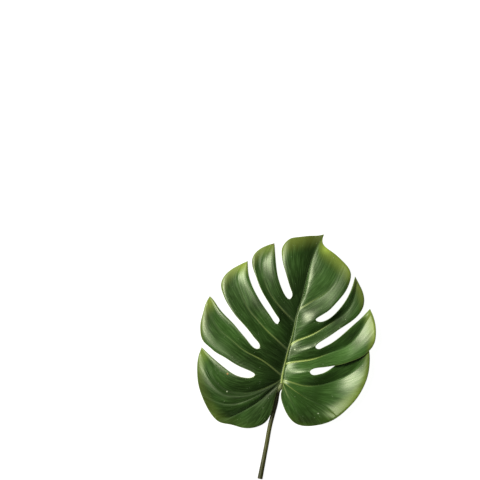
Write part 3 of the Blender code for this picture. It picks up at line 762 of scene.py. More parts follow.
def half_blade(side, rims, veins, tip_root, columns, swells, looks):
    """The strips of one half, from the tip to the base, and its points along the midrib."""
    root = beside_midrib(side)
    rims = (*rims[:-1], rims[-1]._replace(points=(*rims[-1].points, tuple(root.path[0, :2]))))
    strips = []
    edges = []
    upper = None
    offset = 0.0
    for rim, group, counts in zip(rims, veins, columns):
        path = smooth_path(rim.points)
        closed = rim.split * STEPS_PER_SPAN if rim.split else len(path) - 1
        edges = [*edges, path[:closed + 1]]
        knots = [index * STEPS_PER_SPAN for index in (0, *rim.ends, rim.shoulder)]
        paths = [vein_path(root, vein, path[knot]) for vein, knot in zip(group, knots[1:])]
        share = split_level(group, paths, upper, rim)
        if upper is None:
            beyond = root.stations > tip_root
            along = np.vstack([root_at(root, [tip_root]), root.path[beyond]])
            upper = Line(rows_of(*cut(along, share)), tip_root, True, THIN_VEIN, 0, NOT_PALE)
            spine = upper.rows
        if rim.split:
            lower, following = split_lines(root, rim, path[knots[-1]:closed + 1], path[closed:])
        else:
            edge = raised(path[knots[-1]:][::-1], (root.path[0, 2], *rim.lower_edge))
            lower = Line(rows_of(*cut(edge, share)), rim.root, False, NO_VEIN, 0, NOT_PALE)
            following = None
        lines = [upper, *(vein_line(vein, line, share) for vein, line in zip(group, paths)), lower]
        for i, count in enumerate(counts):
            margin = path[knots[i]:knots[i + 1] + 1]
            woven, offset = strip(lines[i], lines[i + 1], margin, edges, root,
                                  count * SIDE_STEPS, offset, swells[len(strips)],
                                  looks_at(looks, len(strips)))
            strips.append(woven)
        upper = following
        edges = [path[closed:]]
    foot = [woven.points[0, ::-1] for woven in reversed(strips)]
    return strips, np.vstack([row[:-1] for row in foot] + [spine])


right_strips, right_chain = half_blade(1, RIGHT_RIMS, RIGHT_VEINS, RIGHT_TIP_ROOT, RIGHT_COLUMNS,
                                       RIGHT_SWELLS, RIGHT_LOOKS)
left_strips, left_chain = half_blade(-1, LEFT_RIMS, LEFT_VEINS, LEFT_TIP_ROOT, LEFT_COLUMNS,
                                     LEFT_SWELLS, LEFT_LOOKS)
print("strips:", len(right_strips), "right and", len(left_strips), "left")

# %% [markdown]
# ## The cord of the midrib
# Between the two halves runs the midrib itself, a pale rounded cord. Five chains of points give
# it its round back: the two edges of the halves, and three more between them. Where neighbouring
# chains have different numbers of points, triangles are sewn in one by one, always to the nearer
# next point, like a zip.

# %% Midrib cord
CORD_STEPS = 380
CORD_LANES = (-0.55, 0.0, 0.55)
CORD_CROWN = 0.55


def cord_lane(lane):
    """One chain of points along the back of the midrib cord."""
    root = beside_midrib(lane)
    stations = np.linspace(0, midrib_run[-1], CORD_STEPS)
    points = root_at(root, stations)
    taper = np.interp(stations, midrib_run, midrib_half) / MIDRIB_HALF_WIDTH
    points[:, 2] += CORD_CROWN * taper * (1 - lane * lane)
    return points


def sewn(left, right, first_left, first_right):
    """Triangles between two chains of points that run side by side."""
    faces = []
    i = j = 0
    while i < len(left) - 1 or j < len(right) - 1:
        here = (first_left + i, first_right + j)
        go_left = j == len(right) - 1 or (
            i < len(left) - 1
            and np.linalg.norm(left[i + 1] - right[j]) < np.linalg.norm(left[i] - right[j + 1]))
        if go_left:
            i += 1
            faces.append((*here, first_left + i))
        else:
            j += 1
            faces.append((*here, first_right + j))
    return np.array(faces)


cord_lanes = [cord_lane(lane) for lane in CORD_LANES]
print("the cord has", len(cord_lanes), "lanes of", CORD_STEPS, "points")

# %% [markdown]
# ## One sheet
# The strips and the cord become one sheet. Each grid gives two triangles for a cell, and points
# that fall on the same place are merged. What the points know goes along with them. The strips
# were smoothed one by one, so on many veins the points of both sides lie a little apart in
# height, mostly by a few hundredths of a millimetre. They stay apart, and leave a fine seam.

# %% Join and weld
WELD_DECIMALS = 4


def grid_faces(rows, columns, side):
    """Two triangles for each cell of a grid, with their upper side up."""
    here = (np.arange(rows - 1)[:, None] * columns + np.arange(columns - 1)).ravel()
    out = here + columns
    faces = np.vstack([np.column_stack([here, here + 1, out + 1]),
                       np.column_stack([here, out + 1, out])])
    return faces if side > 0 else faces[:, ::-1]


points, flow, gaps, looks, faces = [], [], [], [], []
count = 0
for side, strips in ((1, right_strips), (-1, left_strips)):
    for woven in strips:
        faces.append(count + grid_faces(*woven.points.shape[:2], side))
        points.append(woven.points.reshape(-1, 3))
        flow.append(woven.flow.reshape(-1, 3) * (side, 1, 1))
        gaps.append(woven.gaps.reshape(-1, 3))
        looks.append(woven.looks.reshape(-1, 3))
        count += len(points[-1])
chains = [left_chain, *cord_lanes, right_chain]
firsts = count + np.concatenate([[0], np.cumsum([len(chain) for chain in chains])])
for i, (left, right) in enumerate(zip(chains, chains[1:])):
    faces.append(sewn(left, right, firsts[i], firsts[i + 1]))
chain_points = np.vstack(chains)
points = np.vstack(points + [chain_points])
flow = np.vstack(flow + [np.zeros((len(chain_points), 3))])
base_edges = [smooth_path(rims[-1].points) for rims in (RIGHT_RIMS, LEFT_RIMS)]
chain_rim = np.min([gap_to(chain_points, edge) for edge in base_edges], axis=0)
chain_gaps = np.column_stack([np.full(len(chain_points), FAR), chain_rim, np.zeros(len(chain_rim))])
gaps = np.vstack(gaps + [chain_gaps])
looks = np.vstack(looks + [np.tile((1.0, 0.0, 0.0), (len(chain_points), 1))])
_, kept, same = np.unique(np.round(points, WELD_DECIMALS), axis=0,
                          return_index=True, return_inverse=True)
faces = same.reshape(-1)[np.vstack(faces)]
a, b, c = faces.T
faces = faces[(a != b) & (b != c) & (a != c)]
points, flow, gaps, looks = points[kept], flow[kept], gaps[kept], looks[kept]
vein_gap, rim_gap, width_share = gaps.T
print("the sheet has", len(points), "points and", len(faces), "triangles")

# %% [markdown]
# ## Small relief on the skin
# From close by the skin isn't even. A fine raised line runs in the bottom of each vein's valley,
# hundreds of slight ribs run side by side from the midrib to the margin, and the whole blade
# is a little uneven, as a thing that grew always is. Each of these is added to the height of the
# sheet. The ribs take their rhythm from a list of random numbers with a fixed seed, so they come
# out the same every time.

# %% Veins, ribs and unevenness
VEIN_BEAD = 0.30
VEIN_BEAD_WIDTH = 0.55
VEIN_BEAD_FADE = 0.8
DARK_BEAD = 0.25
PALE_BEAD = 1.5
MIDRIB_CLEAR = 8
RIB_RELIEF = 0.04
RIB_SPACING = 1.1
UNEVEN = 0.15
UNEVEN_WAVES = 14
UNEVEN_LENGTHS = (18, 60)
NOISE_KNOTS = 2000
SETTLE = 4.0
SEED = 11

rng = np.random.default_rng(SEED)


def steady_noise(places, spacing):
    """A smooth random line, read at the given places: about one swing for each two spacings."""
    knots = rng.normal(size=NOISE_KNOTS)
    share = places / spacing + NOISE_KNOTS / 2
    low = np.floor(share).astype(int)
    t = share - low
    t = t * t * (3 - 2 * t)
    return knots[low] * (1 - t) + knots[low + 1] * t


def uneven(places):
    """A soft random landscape of long waves."""
    height = np.zeros(len(places))
    for _ in range(UNEVEN_WAVES):
        length = rng.uniform(*UNEVEN_LENGTHS)
        turn = rng.uniform(0, 2 * np.pi)
        ahead = np.array((np.cos(turn), np.sin(turn)))
        phase = rng.uniform(0, 2 * np.pi)
        height += np.sin(places @ ahead * 2 * np.pi / length + phase) * length
    return height / np.abs(height).max()


off_midrib = np.linalg.norm(points[:, None, :2] - midrib[None], axis=2)
up_midrib = off_midrib.argmin(axis=1) / (len(midrib) - 1)
off_midrib = off_midrib.min(axis=1)
length_share = flow[:, 1] / np.maximum(flow[:, 1] + flow[:, 2], TINY)
from_midrib = np.clip(off_midrib / MIDRIB_CLEAR, 0, 1)
bead = VEIN_BEAD * (1 - VEIN_BEAD_FADE * length_share) * np.exp(-(vein_gap / VEIN_BEAD_WIDTH) ** 2)
bead *= DARK_BEAD + (1 - DARK_BEAD) * np.minimum(PALE_BEAD * looks[:, 2], 1)
ribs = RIB_RELIEF * steady_noise(flow[:, 0], RIB_SPACING) * from_midrib * width_share
landscape = UNEVEN * uneven(points[:, :2]) * from_midrib
unevenness = bead + ribs + landscape
settle = np.clip(points[:, 2] / SETTLE, 0, 1)
points[:, 2] += unevenness * settle
print("relief from", unevenness.min().round(2), "to", unevenness.max().round(2), "mm")

# %% [markdown]
# ## Pleats
# Here and there a short pleat crosses a lobe, where the blade was rolled up in the bud. Each is a
# soft ripple, a few millimetres wide, that fades out to all sides.

# %% Pleats across the lobes
# x, y, direction in degrees, length and spacing of the ripples in mm, and their height
PLEATS = (
    (-27, 83, 130, 9, 5.0, 0.6),
    (-50, 29, 118, 8, 4.5, 0.55),
    (-93, 12, 125, 9, 5.5, 0.5),
)
PLEAT_WIDTH = 1.2
for x, y, turn, length, spacing, height in PLEATS:
    ahead = np.array((np.cos(np.radians(turn)), np.sin(np.radians(turn))))
    off = points[:, :2] - (x, y)
    forward = off @ ahead
    aside = off @ (-ahead[1], ahead[0])
    fading = np.exp(-(forward / (PLEAT_WIDTH * spacing)) ** 2 - (aside / length) ** 2)
    points[:, 2] += height * np.cos(2 * np.pi * forward / spacing) * fading * settle
print(len(PLEATS), "pleats")

# %% [markdown]
# ## Thickness, keel and ribs underneath
# A real blade is thin at its edge and stout at its spine. On the underside the midrib stands out
# as a keel and each side vein as a rib, which is what holds a leaf this wide up. So the underside
# is the same sheet, lowered by a thickness that grows from the free edge inwards and again at the
# veins. Where the leaf touches the table its underside is pressed flat.

# %% Underside
EDGE_THICKNESS = 0.5
BLADE_THICKNESS = 0.9
EDGE_TAPER = 5.0
KEEL_DEPTH = 3.0
KEEL_TAPER = 2.7
KEEL_WIDTH = 2.2
RIB_DEPTH = 1.4
RIB_WIDTH = 1.6
PRESS_SOFTNESS = 1.5


def pressed(height):
    """A height kept from sinking under the table, with a soft start."""
    w = PRESS_SOFTNESS
    return np.where(height > w, height, np.where(height < -w, 0, (height + w) ** 2 / (4 * w)))


inward = np.clip(rim_gap / EDGE_TAPER, 0, 1)
skin = EDGE_THICKNESS + (BLADE_THICKNESS - EDGE_THICKNESS) * inward * (2 - inward)
beside = np.maximum(off_midrib - MIDRIB_HALF_WIDTH * (1 - up_midrib), 0)
keel = (KEEL_DEPTH - KEEL_TAPER * up_midrib) * np.exp(-(beside / KEEL_WIDTH) ** 2)
side_ribs = RIB_DEPTH * (1 - length_share) * np.exp(-(vein_gap / RIB_WIDTH) ** 2)
points[:, 2] = skin + pressed(points[:, 2] - skin)
under = points.copy()
under[:, 2] = np.maximum(points[:, 2] - skin - np.maximum(keel, side_ribs), 0)
print("thickness from", round(float(skin.min()), 2), "to",
      round(float((points - under)[:, 2].max()), 2), "mm")

# %% [markdown]
# ## A rounded edge
# A cut sheet has a hard square edge, but a leaf's edge is a tiny round bead. Along every free
# edge one more row of points is put between the upper face and the underside, pushed out a tenth
# of a millimetre or two. Smooth shading then rolls the light round the edge. The seams on the
# veins are closed in the same way, inside the blade, where it isn't seen.

# %% Close the edge
EDGE_BULGE = 0.35

edge_pairs = np.vstack([faces[:, [0, 1]], faces[:, [1, 2]], faces[:, [2, 0]]])
both_ways = {tuple(pair) for pair in edge_pairs.tolist()}
free = np.array([pair for pair in edge_pairs.tolist() if (pair[1], pair[0]) not in both_ways])
outward = np.zeros((len(points), 2))
step = points[free[:, 1], :2] - points[free[:, 0], :2]
step /= np.linalg.norm(step, axis=1)[:, None]
for end in (0, 1):
    np.add.at(outward, free[:, end], np.column_stack([step[:, 1], -step[:, 0]]))
on_edge = np.unique(free)
place_on_edge = {int(p): i for i, p in enumerate(on_edge)}
outward = outward[on_edge]
outward /= np.linalg.norm(outward, axis=1)[:, None]
middle = (points[on_edge] + under[on_edge]) / 2
middle[:, :2] += outward * EDGE_BULGE * skin[on_edge, None]
upper_count = len(points)
first_middle = 2 * upper_count
walls = []
for a, b in free.tolist():
    ma, mb = first_middle + place_on_edge[a], first_middle + place_on_edge[b]
    ua, ub = a + upper_count, b + upper_count
    walls += [(a, ma, mb), (a, mb, b), (ma, ua, ub), (ma, ub, mb)]
blade_points = np.vstack([points, under, middle])
blade_faces = np.vstack([faces, faces[:, ::-1] + upper_count, walls])
face_kinds = np.repeat((0, 1, 2), (len(faces), len(faces), len(walls)))
print("free edge and seams:", len(free), "steps; the blade has", len(blade_faces), "triangles")

# %% [markdown]
# ## From arrays to a piece
# Both pieces of the leaf are made in the same way, from an array of points and an array of faces.
# What the points know is stored on the mesh as attributes, which a material can read by name.

# %% Make a piece


def add_piece(name, points, faces, materials, kinds=None, **attributes):
    """One piece in the solid model's frame, with its materials and what its points know."""
    mesh = bpy.data.meshes.new(name)
    mesh.from_pydata(in_metres(points).tolist(), [], np.asarray(faces).tolist())
    mesh.shade_smooth()
    for material in materials:
        mesh.materials.append(material)
    if kinds is not None:
        mesh.polygons.foreach_set("material_index", kinds.astype(np.int32))
    for label, values in attributes.items():
        values = np.asarray(values, np.float32)
        kind, key = ("FLOAT_VECTOR", "vector") if values.ndim > 1 else ("FLOAT", "value")
        mesh.attributes.new(label, kind, "POINT").data.foreach_set(key, values.ravel())
    piece = bpy.data.objects.new(name, mesh)
    bpy.context.scene.collection.objects.link(piece)
    return piece


print("meshes so far, with the solid model's and the table's:", len(bpy.data.meshes))

# %% [markdown]
# ## Painted shade and highlights
# A leaf isn't one green, and here its colour also carries painted light. The left half is
# painted darker along the midrib, as shade where its skin slopes away from the lamp, and soft
# clouds paint more shade, and some highlights, onto places that turn from the lamp or catch its
# shine, some of them no wider than a fingertip. Each cloud is given by its place and size and by
# how much it changes the skin. The midrib's cord is pale at its start and takes on the green of
# the skin towards the tip.

# %% How light the skin is, with painted shade and highlights
PAINTED_SHADE_REACH = 30.0
PAINTED_SHADE = 0.45
# x and y from the joint, width and height of a soft cloud, and how much lighter the skin is in it;
# most clouds paint shade where the skin turns from the lamp, and the lighter ones paint highlights
PAINTED_LIGHT_AND_SHADE = ((23, 160, 20, 20, 0.25), (59, 160, 16, 20, -0.2), (61, 178, 7, 7, 0.9),
         (38, 90, 16, 14, -0.5), (73, 88, 14, 10, -0.5), (93, 44, 14, 10, 0.25),
         (-34, 160, 8, 16, -0.4), (3, 92, 14, 20, -0.45), (-55, 147, 10, 12, 0.3),
         (-32, 101, 14, 14, -0.4), (3, 48, 10, 14, -0.3), (-93, 95, 12, 14, -0.2),
         (-38, 31, 20, 14, -0.4), (-8, 14, 12, 14, -0.3), (-22, -12, 18, 9, -0.4),
         (-69, -13, 26, 14, -0.3), (-105, -6, 12, 28, -0.2), (-105, 28, 6, 14, 0.5),
         (20, -15, 16, 16, 0.35), (98, -10, 18, 28, 0.3))
CORD_PALENESS = ((0, 0.15, 0.35, 0.6, 1), (1, 0.9, 0.5, 0.2, 0.1))
LEAST_CORD = 0.3

on_left = flow[:, 0] < 0
# painted shade: the left half is darkened beside the midrib, where its skin slopes away from the
# lamp
looks[:, 0] *= 1 - PAINTED_SHADE * np.exp(-(off_midrib / PAINTED_SHADE_REACH) ** 2) * on_left
# painted light and shade: each cloud scales the skin's colour, darker as painted shade, lighter as
# a painted highlight
for x, y, wide, tall, change in PAINTED_LIGHT_AND_SHADE:
    off = ((points[:, :2] - (x, y)) / (wide, tall)) ** 2
    looks[:, 0] *= 1 + change * np.exp(-off.sum(axis=1))
half_here = np.interp(up_midrib, midrib_share, np.maximum(midrib_half, LEAST_CORD))
on_cord = off_midrib < half_here
looks[on_cord, 2] = np.interp(up_midrib[on_cord], *CORD_PALENESS)
print("lightness from", looks[:, 0].min().round(2), "to", looks[:, 0].max().round(2))

# %% [markdown]
# ## The blade
# The blade is one mesh with three material places: the glossy upper skin, the pale underside and
# the thin edge between them. The points of the underside and of the edge know the same as the
# points of the upper face above them.

# %% Blade object
upper_gaps = np.column_stack([vein_gap, off_midrib / half_here, rim_gap])
spread_out = np.concatenate([np.arange(upper_count), np.arange(upper_count), on_edge])
skin_material = bpy.data.materials.new("upper_skin")
under_material = bpy.data.materials.new("pale_underside")
edge_material = bpy.data.materials.new("thin_edge")
blade = add_piece("leaf_blade", blade_points, blade_faces,
                  (skin_material, under_material, edge_material), face_kinds,
                  flow=flow[spread_out], gaps=upper_gaps[spread_out], looks=looks[spread_out],
                  width_share=width_share[spread_out])
print("blade:", len(blade.data.vertices), "points,", len(blade.data.polygons), "faces")

# %% [markdown]
# ## Tools for mixing finishes
# A finish is a small network of nodes. Written out by hand it is long and hard to read, so a few
# helpers come first. Each adds one node and hands back its output, and takes numbers and other
# outputs alike. Colours are given as they look on a screen, from 0 to 255, and are turned into
# the linear values that Blender counts with.

# %% Numbers and colours


def paint(red, green, blue):
    """A screen colour as Blender's linear colour."""
    share = np.array((red, green, blue)) / 255
    linear = np.where(share > 0.04045, ((share + 0.055) / 1.055) ** 2.4, share / 12.92)
    return (*linear.tolist(), 1.0)


def feed(tree, socket, value):
    """Link an output to a socket, or set the socket's own value."""
    if isinstance(value, bpy.types.NodeSocket):
        tree.links.new(value, socket)
    else:
        socket.default_value = value


def maths(tree, operation, *values):
    """One sum on numbers or outputs, such as MULTIPLY or MAXIMUM."""
    node = tree.nodes.new("ShaderNodeMath")
    node.operation = operation
    for socket, value in zip(node.inputs, values):
        feed(tree, socket, value)
    return node.outputs[0]


def fade(tree, value, start, end, low=0.0, high=1.0):
    """A value that goes softly from low to high while another goes from start to end."""
    node = tree.nodes.new("ShaderNodeMapRange")
    node.interpolation_type = "SMOOTHSTEP"
    for name, number in (("Value", value), ("From Min", start), ("From Max", end),
                         ("To Min", low), ("To Max", high)):
        feed(tree, node.inputs[name], number)
    return node.outputs[0]


def blend(tree, share, first, second):
    """Two colours mixed by a share."""
    node = tree.nodes.new("ShaderNodeMix")
    node.data_type = "RGBA"
    feed(tree, node.inputs["Factor"], share)
    feed(tree, node.inputs[6], first)
    feed(tree, node.inputs[7], second)
    return node.outputs[2]


def shaded(tree, colour, share):
    """A colour made darker or lighter by a share."""
    node = tree.nodes.new("ShaderNodeVectorMath")
    node.operation = "SCALE"
    feed(tree, node.inputs[0], colour)
    feed(tree, node.inputs["Scale"], share)
    return node.outputs[0]


print("a leaf green on the screen is", [round(c, 3) for c in paint(58, 100, 38)], "in the shader")

# %% [markdown]
# ## Tools that read the mesh
# A finish also has to know where on the leaf it is. The next helpers read what the mesh's points
# know and where they lie, and turn a place into cloudy noise, a round spot or fine relief.

# %% Places, noise and relief
SPOT_CORE = 0.4


def parts_of(tree, vector):
    """The three numbers of a vector."""
    node = tree.nodes.new("ShaderNodeSeparateXYZ")
    feed(tree, node.inputs[0], vector)
    return node.outputs


def vector_of(tree, x, y, z):
    """A vector from three numbers or outputs."""
    node = tree.nodes.new("ShaderNodeCombineXYZ")
    for socket, value in zip(node.inputs, (x, y, z)):
        feed(tree, socket, value)
    return node.outputs[0]


def known(tree, label):
    """What the mesh's points know under this name."""
    node = tree.nodes.new("ShaderNodeAttribute")
    node.attribute_name = label
    return node.outputs["Vector"]


def place_on(tree):
    """The place on the piece, in metres."""
    return tree.nodes.new("ShaderNodeTexCoord").outputs["Object"]


def grain(tree, place, scale, detail=2.0):
    """Cloudy noise between 0 and 1, read at a place."""
    node = tree.nodes.new("ShaderNodeTexNoise")
    feed(tree, node.inputs["Vector"], place)
    node.inputs["Scale"].default_value = scale
    node.inputs["Detail"].default_value = detail
    return node.outputs[0]


def spot(tree, place, x, y, radius):
    """1 at a point given in millimetres from the joint, and 0 beyond the radius around it."""
    node = tree.nodes.new("ShaderNodeVectorMath")
    node.operation = "DISTANCE"
    across, up, _ = parts_of(tree, place)
    feed(tree, node.inputs[0], vector_of(tree, across, up, 0.0))
    node.inputs[1].default_value = in_metres((x, y, 0))
    return fade(tree, node.outputs["Value"], radius * MM, radius * MM * SPOT_CORE)


def bump(tree, height, depth):
    """Fine relief from a height between 0 and 1, as deep as given in metres."""
    node = tree.nodes.new("ShaderNodeBump")
    node.inputs["Distance"].default_value = depth
    feed(tree, node.inputs["Height"], height)
    return node.outputs[0]


def start_finish(material):
    """A material's node tree and its surface shader."""
    material.use_nodes = True
    return material.node_tree, material.node_tree.nodes["Principled BSDF"]


print("a spot is full inside", SPOT_CORE, "of its radius")

# %% [markdown]
# ## The grain of the skin
# Held against the light, the skin is full of fine lines that run side by side from the midrib to
# the margin, lighter and darker, some of them broken. Noise that is squeezed across the grain
# and drawn out along it gives such lines. The mesh knows which way its grain runs, so the lines
# bend with the lobes. Both faces of the blade use them.

# %% Lines along the grain
# how many mm the lines lie apart, and how many times as long as that they are
FINE_LINES = (0.7, 24.0)
SEEN_LINES = (1.2, 20.0)
BROAD_LINES = (3.2, 12.0)
# between these two values most of any noise lies
NOISE_SWING = (0.3, 0.7)


def lines_along(tree, across, along, spacing, stretch):
    """Noise drawn out along the grain of the skin."""
    place = vector_of(tree, maths(tree, "DIVIDE", across, spacing),
                      maths(tree, "DIVIDE", along, spacing * stretch), 0.0)
    return grain(tree, place, 1.0)


print("lines of the grain lie", FINE_LINES[0], "to", BROAD_LINES[0], "mm apart")

# %% [markdown]
# ## The green of the upper skin
# The skin is a deep green with lines of lighter and darker green along its grain. It turns
# yellow where it is youngest and thinnest, towards the outer margin, and ends in a pale hem. All
# of it follows from what the mesh's points know, with no picture, so it keeps its sharpness from
# close by.

# %% Upper skin
DEEP_GREEN = paint(38, 63, 20)
FRESH_GREEN = paint(56, 92, 35)
LINE_GREEN = paint(90, 130, 66)
MARGIN_YELLOW = paint(132, 150, 58)
HEM_GREEN = paint(160, 182, 104)
CLOUD_SCALE = 22.0
MOST_YELLOW = 0.9
# where a fade starts and ends, and its values there when these aren't 0 and 1
OFF_CORD = (1.0, 2.2)
YOUNG_SKIN = (24.0, 0.0)
YOUTH_IN_CLOUDS = (0.3, 0.65, 0.5, 0.9)
HEM = (0.9, 0.2, 0.0, 0.4)

tree, shader = start_finish(skin_material)
across, along, to_margin = parts_of(tree, known(tree, "flow"))
to_vein, to_midrib, to_edge = parts_of(tree, known(tree, "gaps"))
lightness_and_painted_light, youth_here, paleness = parts_of(tree, known(tree, "looks"))
place = place_on(tree)
clouds = grain(tree, place, CLOUD_SCALE, detail=3.0)
fine_lines = lines_along(tree, across, along, *FINE_LINES)
seen_lines = lines_along(tree, across, along, *SEEN_LINES)
broad_lines = lines_along(tree, across, along, *BROAD_LINES)
off_cord = fade(tree, to_midrib, *OFF_CORD)

colour = blend(tree, fade(tree, clouds, *NOISE_SWING), DEEP_GREEN, FRESH_GREEN)
# which lines, from what noise to what they set in, how strong they get, and their colour
for lines, start, end, most, tint in ((fine_lines, 0.45, 0.75, 0.45, LINE_GREEN),
                                      (seen_lines, 0.47, 0.7, 0.5, LINE_GREEN),
                                      (seen_lines, 0.48, 0.25, 0.5, DEEP_GREEN),
                                      (broad_lines, 0.5, 0.25, 0.25, DEEP_GREEN)):
    share = maths(tree, "MULTIPLY", fade(tree, lines, start, end, 0.0, most), off_cord)
    colour = blend(tree, share, colour, tint)
youth = maths(tree, "MULTIPLY", fade(tree, to_margin, *YOUNG_SKIN), youth_here)
youth = maths(tree, "MULTIPLY", youth, fade(tree, clouds, *YOUTH_IN_CLOUDS))
colour = blend(tree, maths(tree, "MINIMUM", youth, MOST_YELLOW), colour, MARGIN_YELLOW)
colour = blend(tree, fade(tree, to_edge, *HEM), colour, HEM_GREEN)
# painted light and shade: the colour is scaled by the strip's lightness, the dark band beside the
# left midrib and the soft clouds
colour = shaded(tree, colour, lightness_and_painted_light)
print("green of the skin:", len(tree.nodes), "nodes")

# %% [markdown]
# ## Pale veins and small marks
# The veins and the midrib are pale, broad at the start and fading on their way out. Fine specks
# of dust and lime lie on the skin, and a few marks are big enough to be seen one by one: a brown
# scar, a dried tip of a lobe, and some white dots. They are put where they are on the real leaf.

# %% Veins and marks
VEIN_GREEN = paint(178, 198, 114)
SPECK_WHITE = paint(190, 205, 170)
SCAR_BROWN = paint(186, 138, 84)
DRY_BROWN = paint(96, 78, 58)
SPECK_SCALE = 520.0
SPECKS = (0.74, 0.80, 0.0, 0.6)
VEIN_WIDENING = (0.3, 1.0, 0.5, 1.5)
VEIN_SIDE = (1.1, 0.4)
CORD_SIDE = (0.95, 0.45)
# marks on the skin: x and y from the joint, radius, and colour
MARKS = ((-72.2, 10.1, 1.6, SCAR_BROWN), (-73, -14.2, 1.2, SPECK_WHITE),
         (18.3, 42.6, 1.4, SPECK_WHITE), (50, -43.9, 1.2, SPECK_WHITE),
         (-11.5, 185.2, 2.6, DRY_BROWN))

vein_left = maths(tree, "DIVIDE", to_margin, maths(tree, "ADD", along, to_margin))
vein_width = fade(tree, vein_left, *VEIN_WIDENING)
vein = fade(tree, maths(tree, "DIVIDE", to_vein, vein_width), *VEIN_SIDE)
vein = maths(tree, "MULTIPLY", vein, paleness)
colour = blend(tree, vein, colour, VEIN_GREEN)
cord = maths(tree, "MULTIPLY", fade(tree, to_midrib, *CORD_SIDE), paleness)
colour = blend(tree, cord, colour, VEIN_GREEN)
specks = grain(tree, place, SPECK_SCALE, detail=1.0)
colour = blend(tree, fade(tree, specks, *SPECKS), colour, SPECK_WHITE)
for x, y, radius, tint in MARKS:
    colour = blend(tree, spot(tree, place, x, y, radius), colour, tint)
feed(tree, shader.inputs["Base Color"], colour)
print("veins and", len(MARKS), "marks:", len(tree.nodes), "nodes so far")

# %% [markdown]
# ## The shine of the wax
# Wax gives the upper skin a soft shine, a little rougher on the fine ribs than between them. The
# yellow margin is duller, and dust lies in the creases of the veins that aren't pale. The shine
# itself is tinted slightly green, for the wax is thin. Most of the ribs are real relief in the
# mesh, and a very shallow bump adds the finest ones.

# %% Gloss and fine relief
WAX_STRENGTH = 0.64
WAX_TINT = (0.9, 1.0, 0.72, 1)
WAX_ROUGHNESS = (0.29, 0.37)
DULL_MARGIN = 0.12
VEIN_DUST = (2.2, 0.6, 0.0, 0.5)
CORD_DUST = (2.0, 1.0, 0.0, 0.4)
NO_DUST_ON_PALE = (0.1, 0.4)
FINE_SHARE = 0.2
RELIEF_DEPTH = 0.00005

dusty = maths(tree, "MAXIMUM", fade(tree, to_vein, *VEIN_DUST), fade(tree, to_midrib, *CORD_DUST))
dusty = maths(tree, "MULTIPLY", dusty,
              maths(tree, "SUBTRACT", 1.0, fade(tree, paleness, *NO_DUST_ON_PALE)))
gloss = fade(tree, seen_lines, *NOISE_SWING, *WAX_ROUGHNESS)
dull = maths(tree, "ADD", dusty, maths(tree, "MULTIPLY", youth, DULL_MARGIN))
feed(tree, shader.inputs["Roughness"], maths(tree, "ADD", gloss, dull))
shader.inputs["Specular IOR Level"].default_value = WAX_STRENGTH
shader.inputs["Specular Tint"].default_value = WAX_TINT
relief = maths(tree, "ADD", maths(tree, "MULTIPLY", fine_lines, FINE_SHARE), seen_lines)
relief = maths(tree, "MULTIPLY", relief, parts_of(tree, known(tree, "width_share"))[0])
feed(tree, shader.inputs["Normal"], bump(tree, relief, RELIEF_DEPTH))
print("whole upper skin:", len(tree.nodes), "nodes")

# %% [markdown]
# ## The pale underside and the thin edge
# The underside has no wax. It is a pale, dull green, with the keel and the ribs paler still, and
# the same fine lines. The edge is as thin as card, and shows as a light yellow-green hem.

# %% Underside and edge
UNDER_GREEN = paint(112, 142, 84)
UNDER_DARK = paint(86, 118, 62)
KEEL_GREEN = paint(172, 192, 124)
EDGE_GREEN = paint(150, 172, 86)
UNDER_CLOUDS = 26.0
UNDER_ROUGHNESS = 0.62
UNDER_RELIEF = 0.00015
UNDER_LINES = (0.45, 0.7, 0.0, 0.4)
UNDER_VEINS = (1.5, 0.3, 0.0, 0.8)
KEEL_SIDE = (1.5, 0.8)
EDGE_CLOUDS = 160.0
EDGE_SWING = (0.35, 0.65)
EDGE_ROUGHNESS = 0.5

tree, shader = start_finish(under_material)
across, along, _ = parts_of(tree, known(tree, "flow"))
to_vein, to_midrib, _ = parts_of(tree, known(tree, "gaps"))
clouds = grain(tree, place_on(tree), UNDER_CLOUDS, detail=3.0)
fine_lines = lines_along(tree, across, along, *FINE_LINES)
colour = blend(tree, fade(tree, clouds, *NOISE_SWING), UNDER_DARK, UNDER_GREEN)
for read, limits in ((fine_lines, UNDER_LINES), (to_vein, UNDER_VEINS), (to_midrib, KEEL_SIDE)):
    colour = blend(tree, fade(tree, read, *limits), colour, KEEL_GREEN)
feed(tree, shader.inputs["Base Color"], colour)
shader.inputs["Roughness"].default_value = UNDER_ROUGHNESS
feed(tree, shader.inputs["Normal"], bump(tree, fine_lines, UNDER_RELIEF))
print("underside:", len(tree.nodes), "nodes")

tree, shader = start_finish(edge_material)
tint = fade(tree, grain(tree, place_on(tree), EDGE_CLOUDS), *EDGE_SWING)
feed(tree, shader.inputs["Base Color"], blend(tree, tint, EDGE_GREEN, FRESH_GREEN))
shader.inputs["Roughness"].default_value = EDGE_ROUGHNESS
print("edge:", len(tree.nodes), "nodes")

# %% [markdown]
# ## The stalk
# The stalk is round and firm, cut flat at its lower end. Under the blade it swells into a knee,
# which turns the leaf towards the light, and ends in a small collar where the veins come
# together. A ring of points is carried along its middle line and swells and thins with it. Fine
# ridges run along it, the knee is wrinkled across, and a few soft knobs sit round the collar.

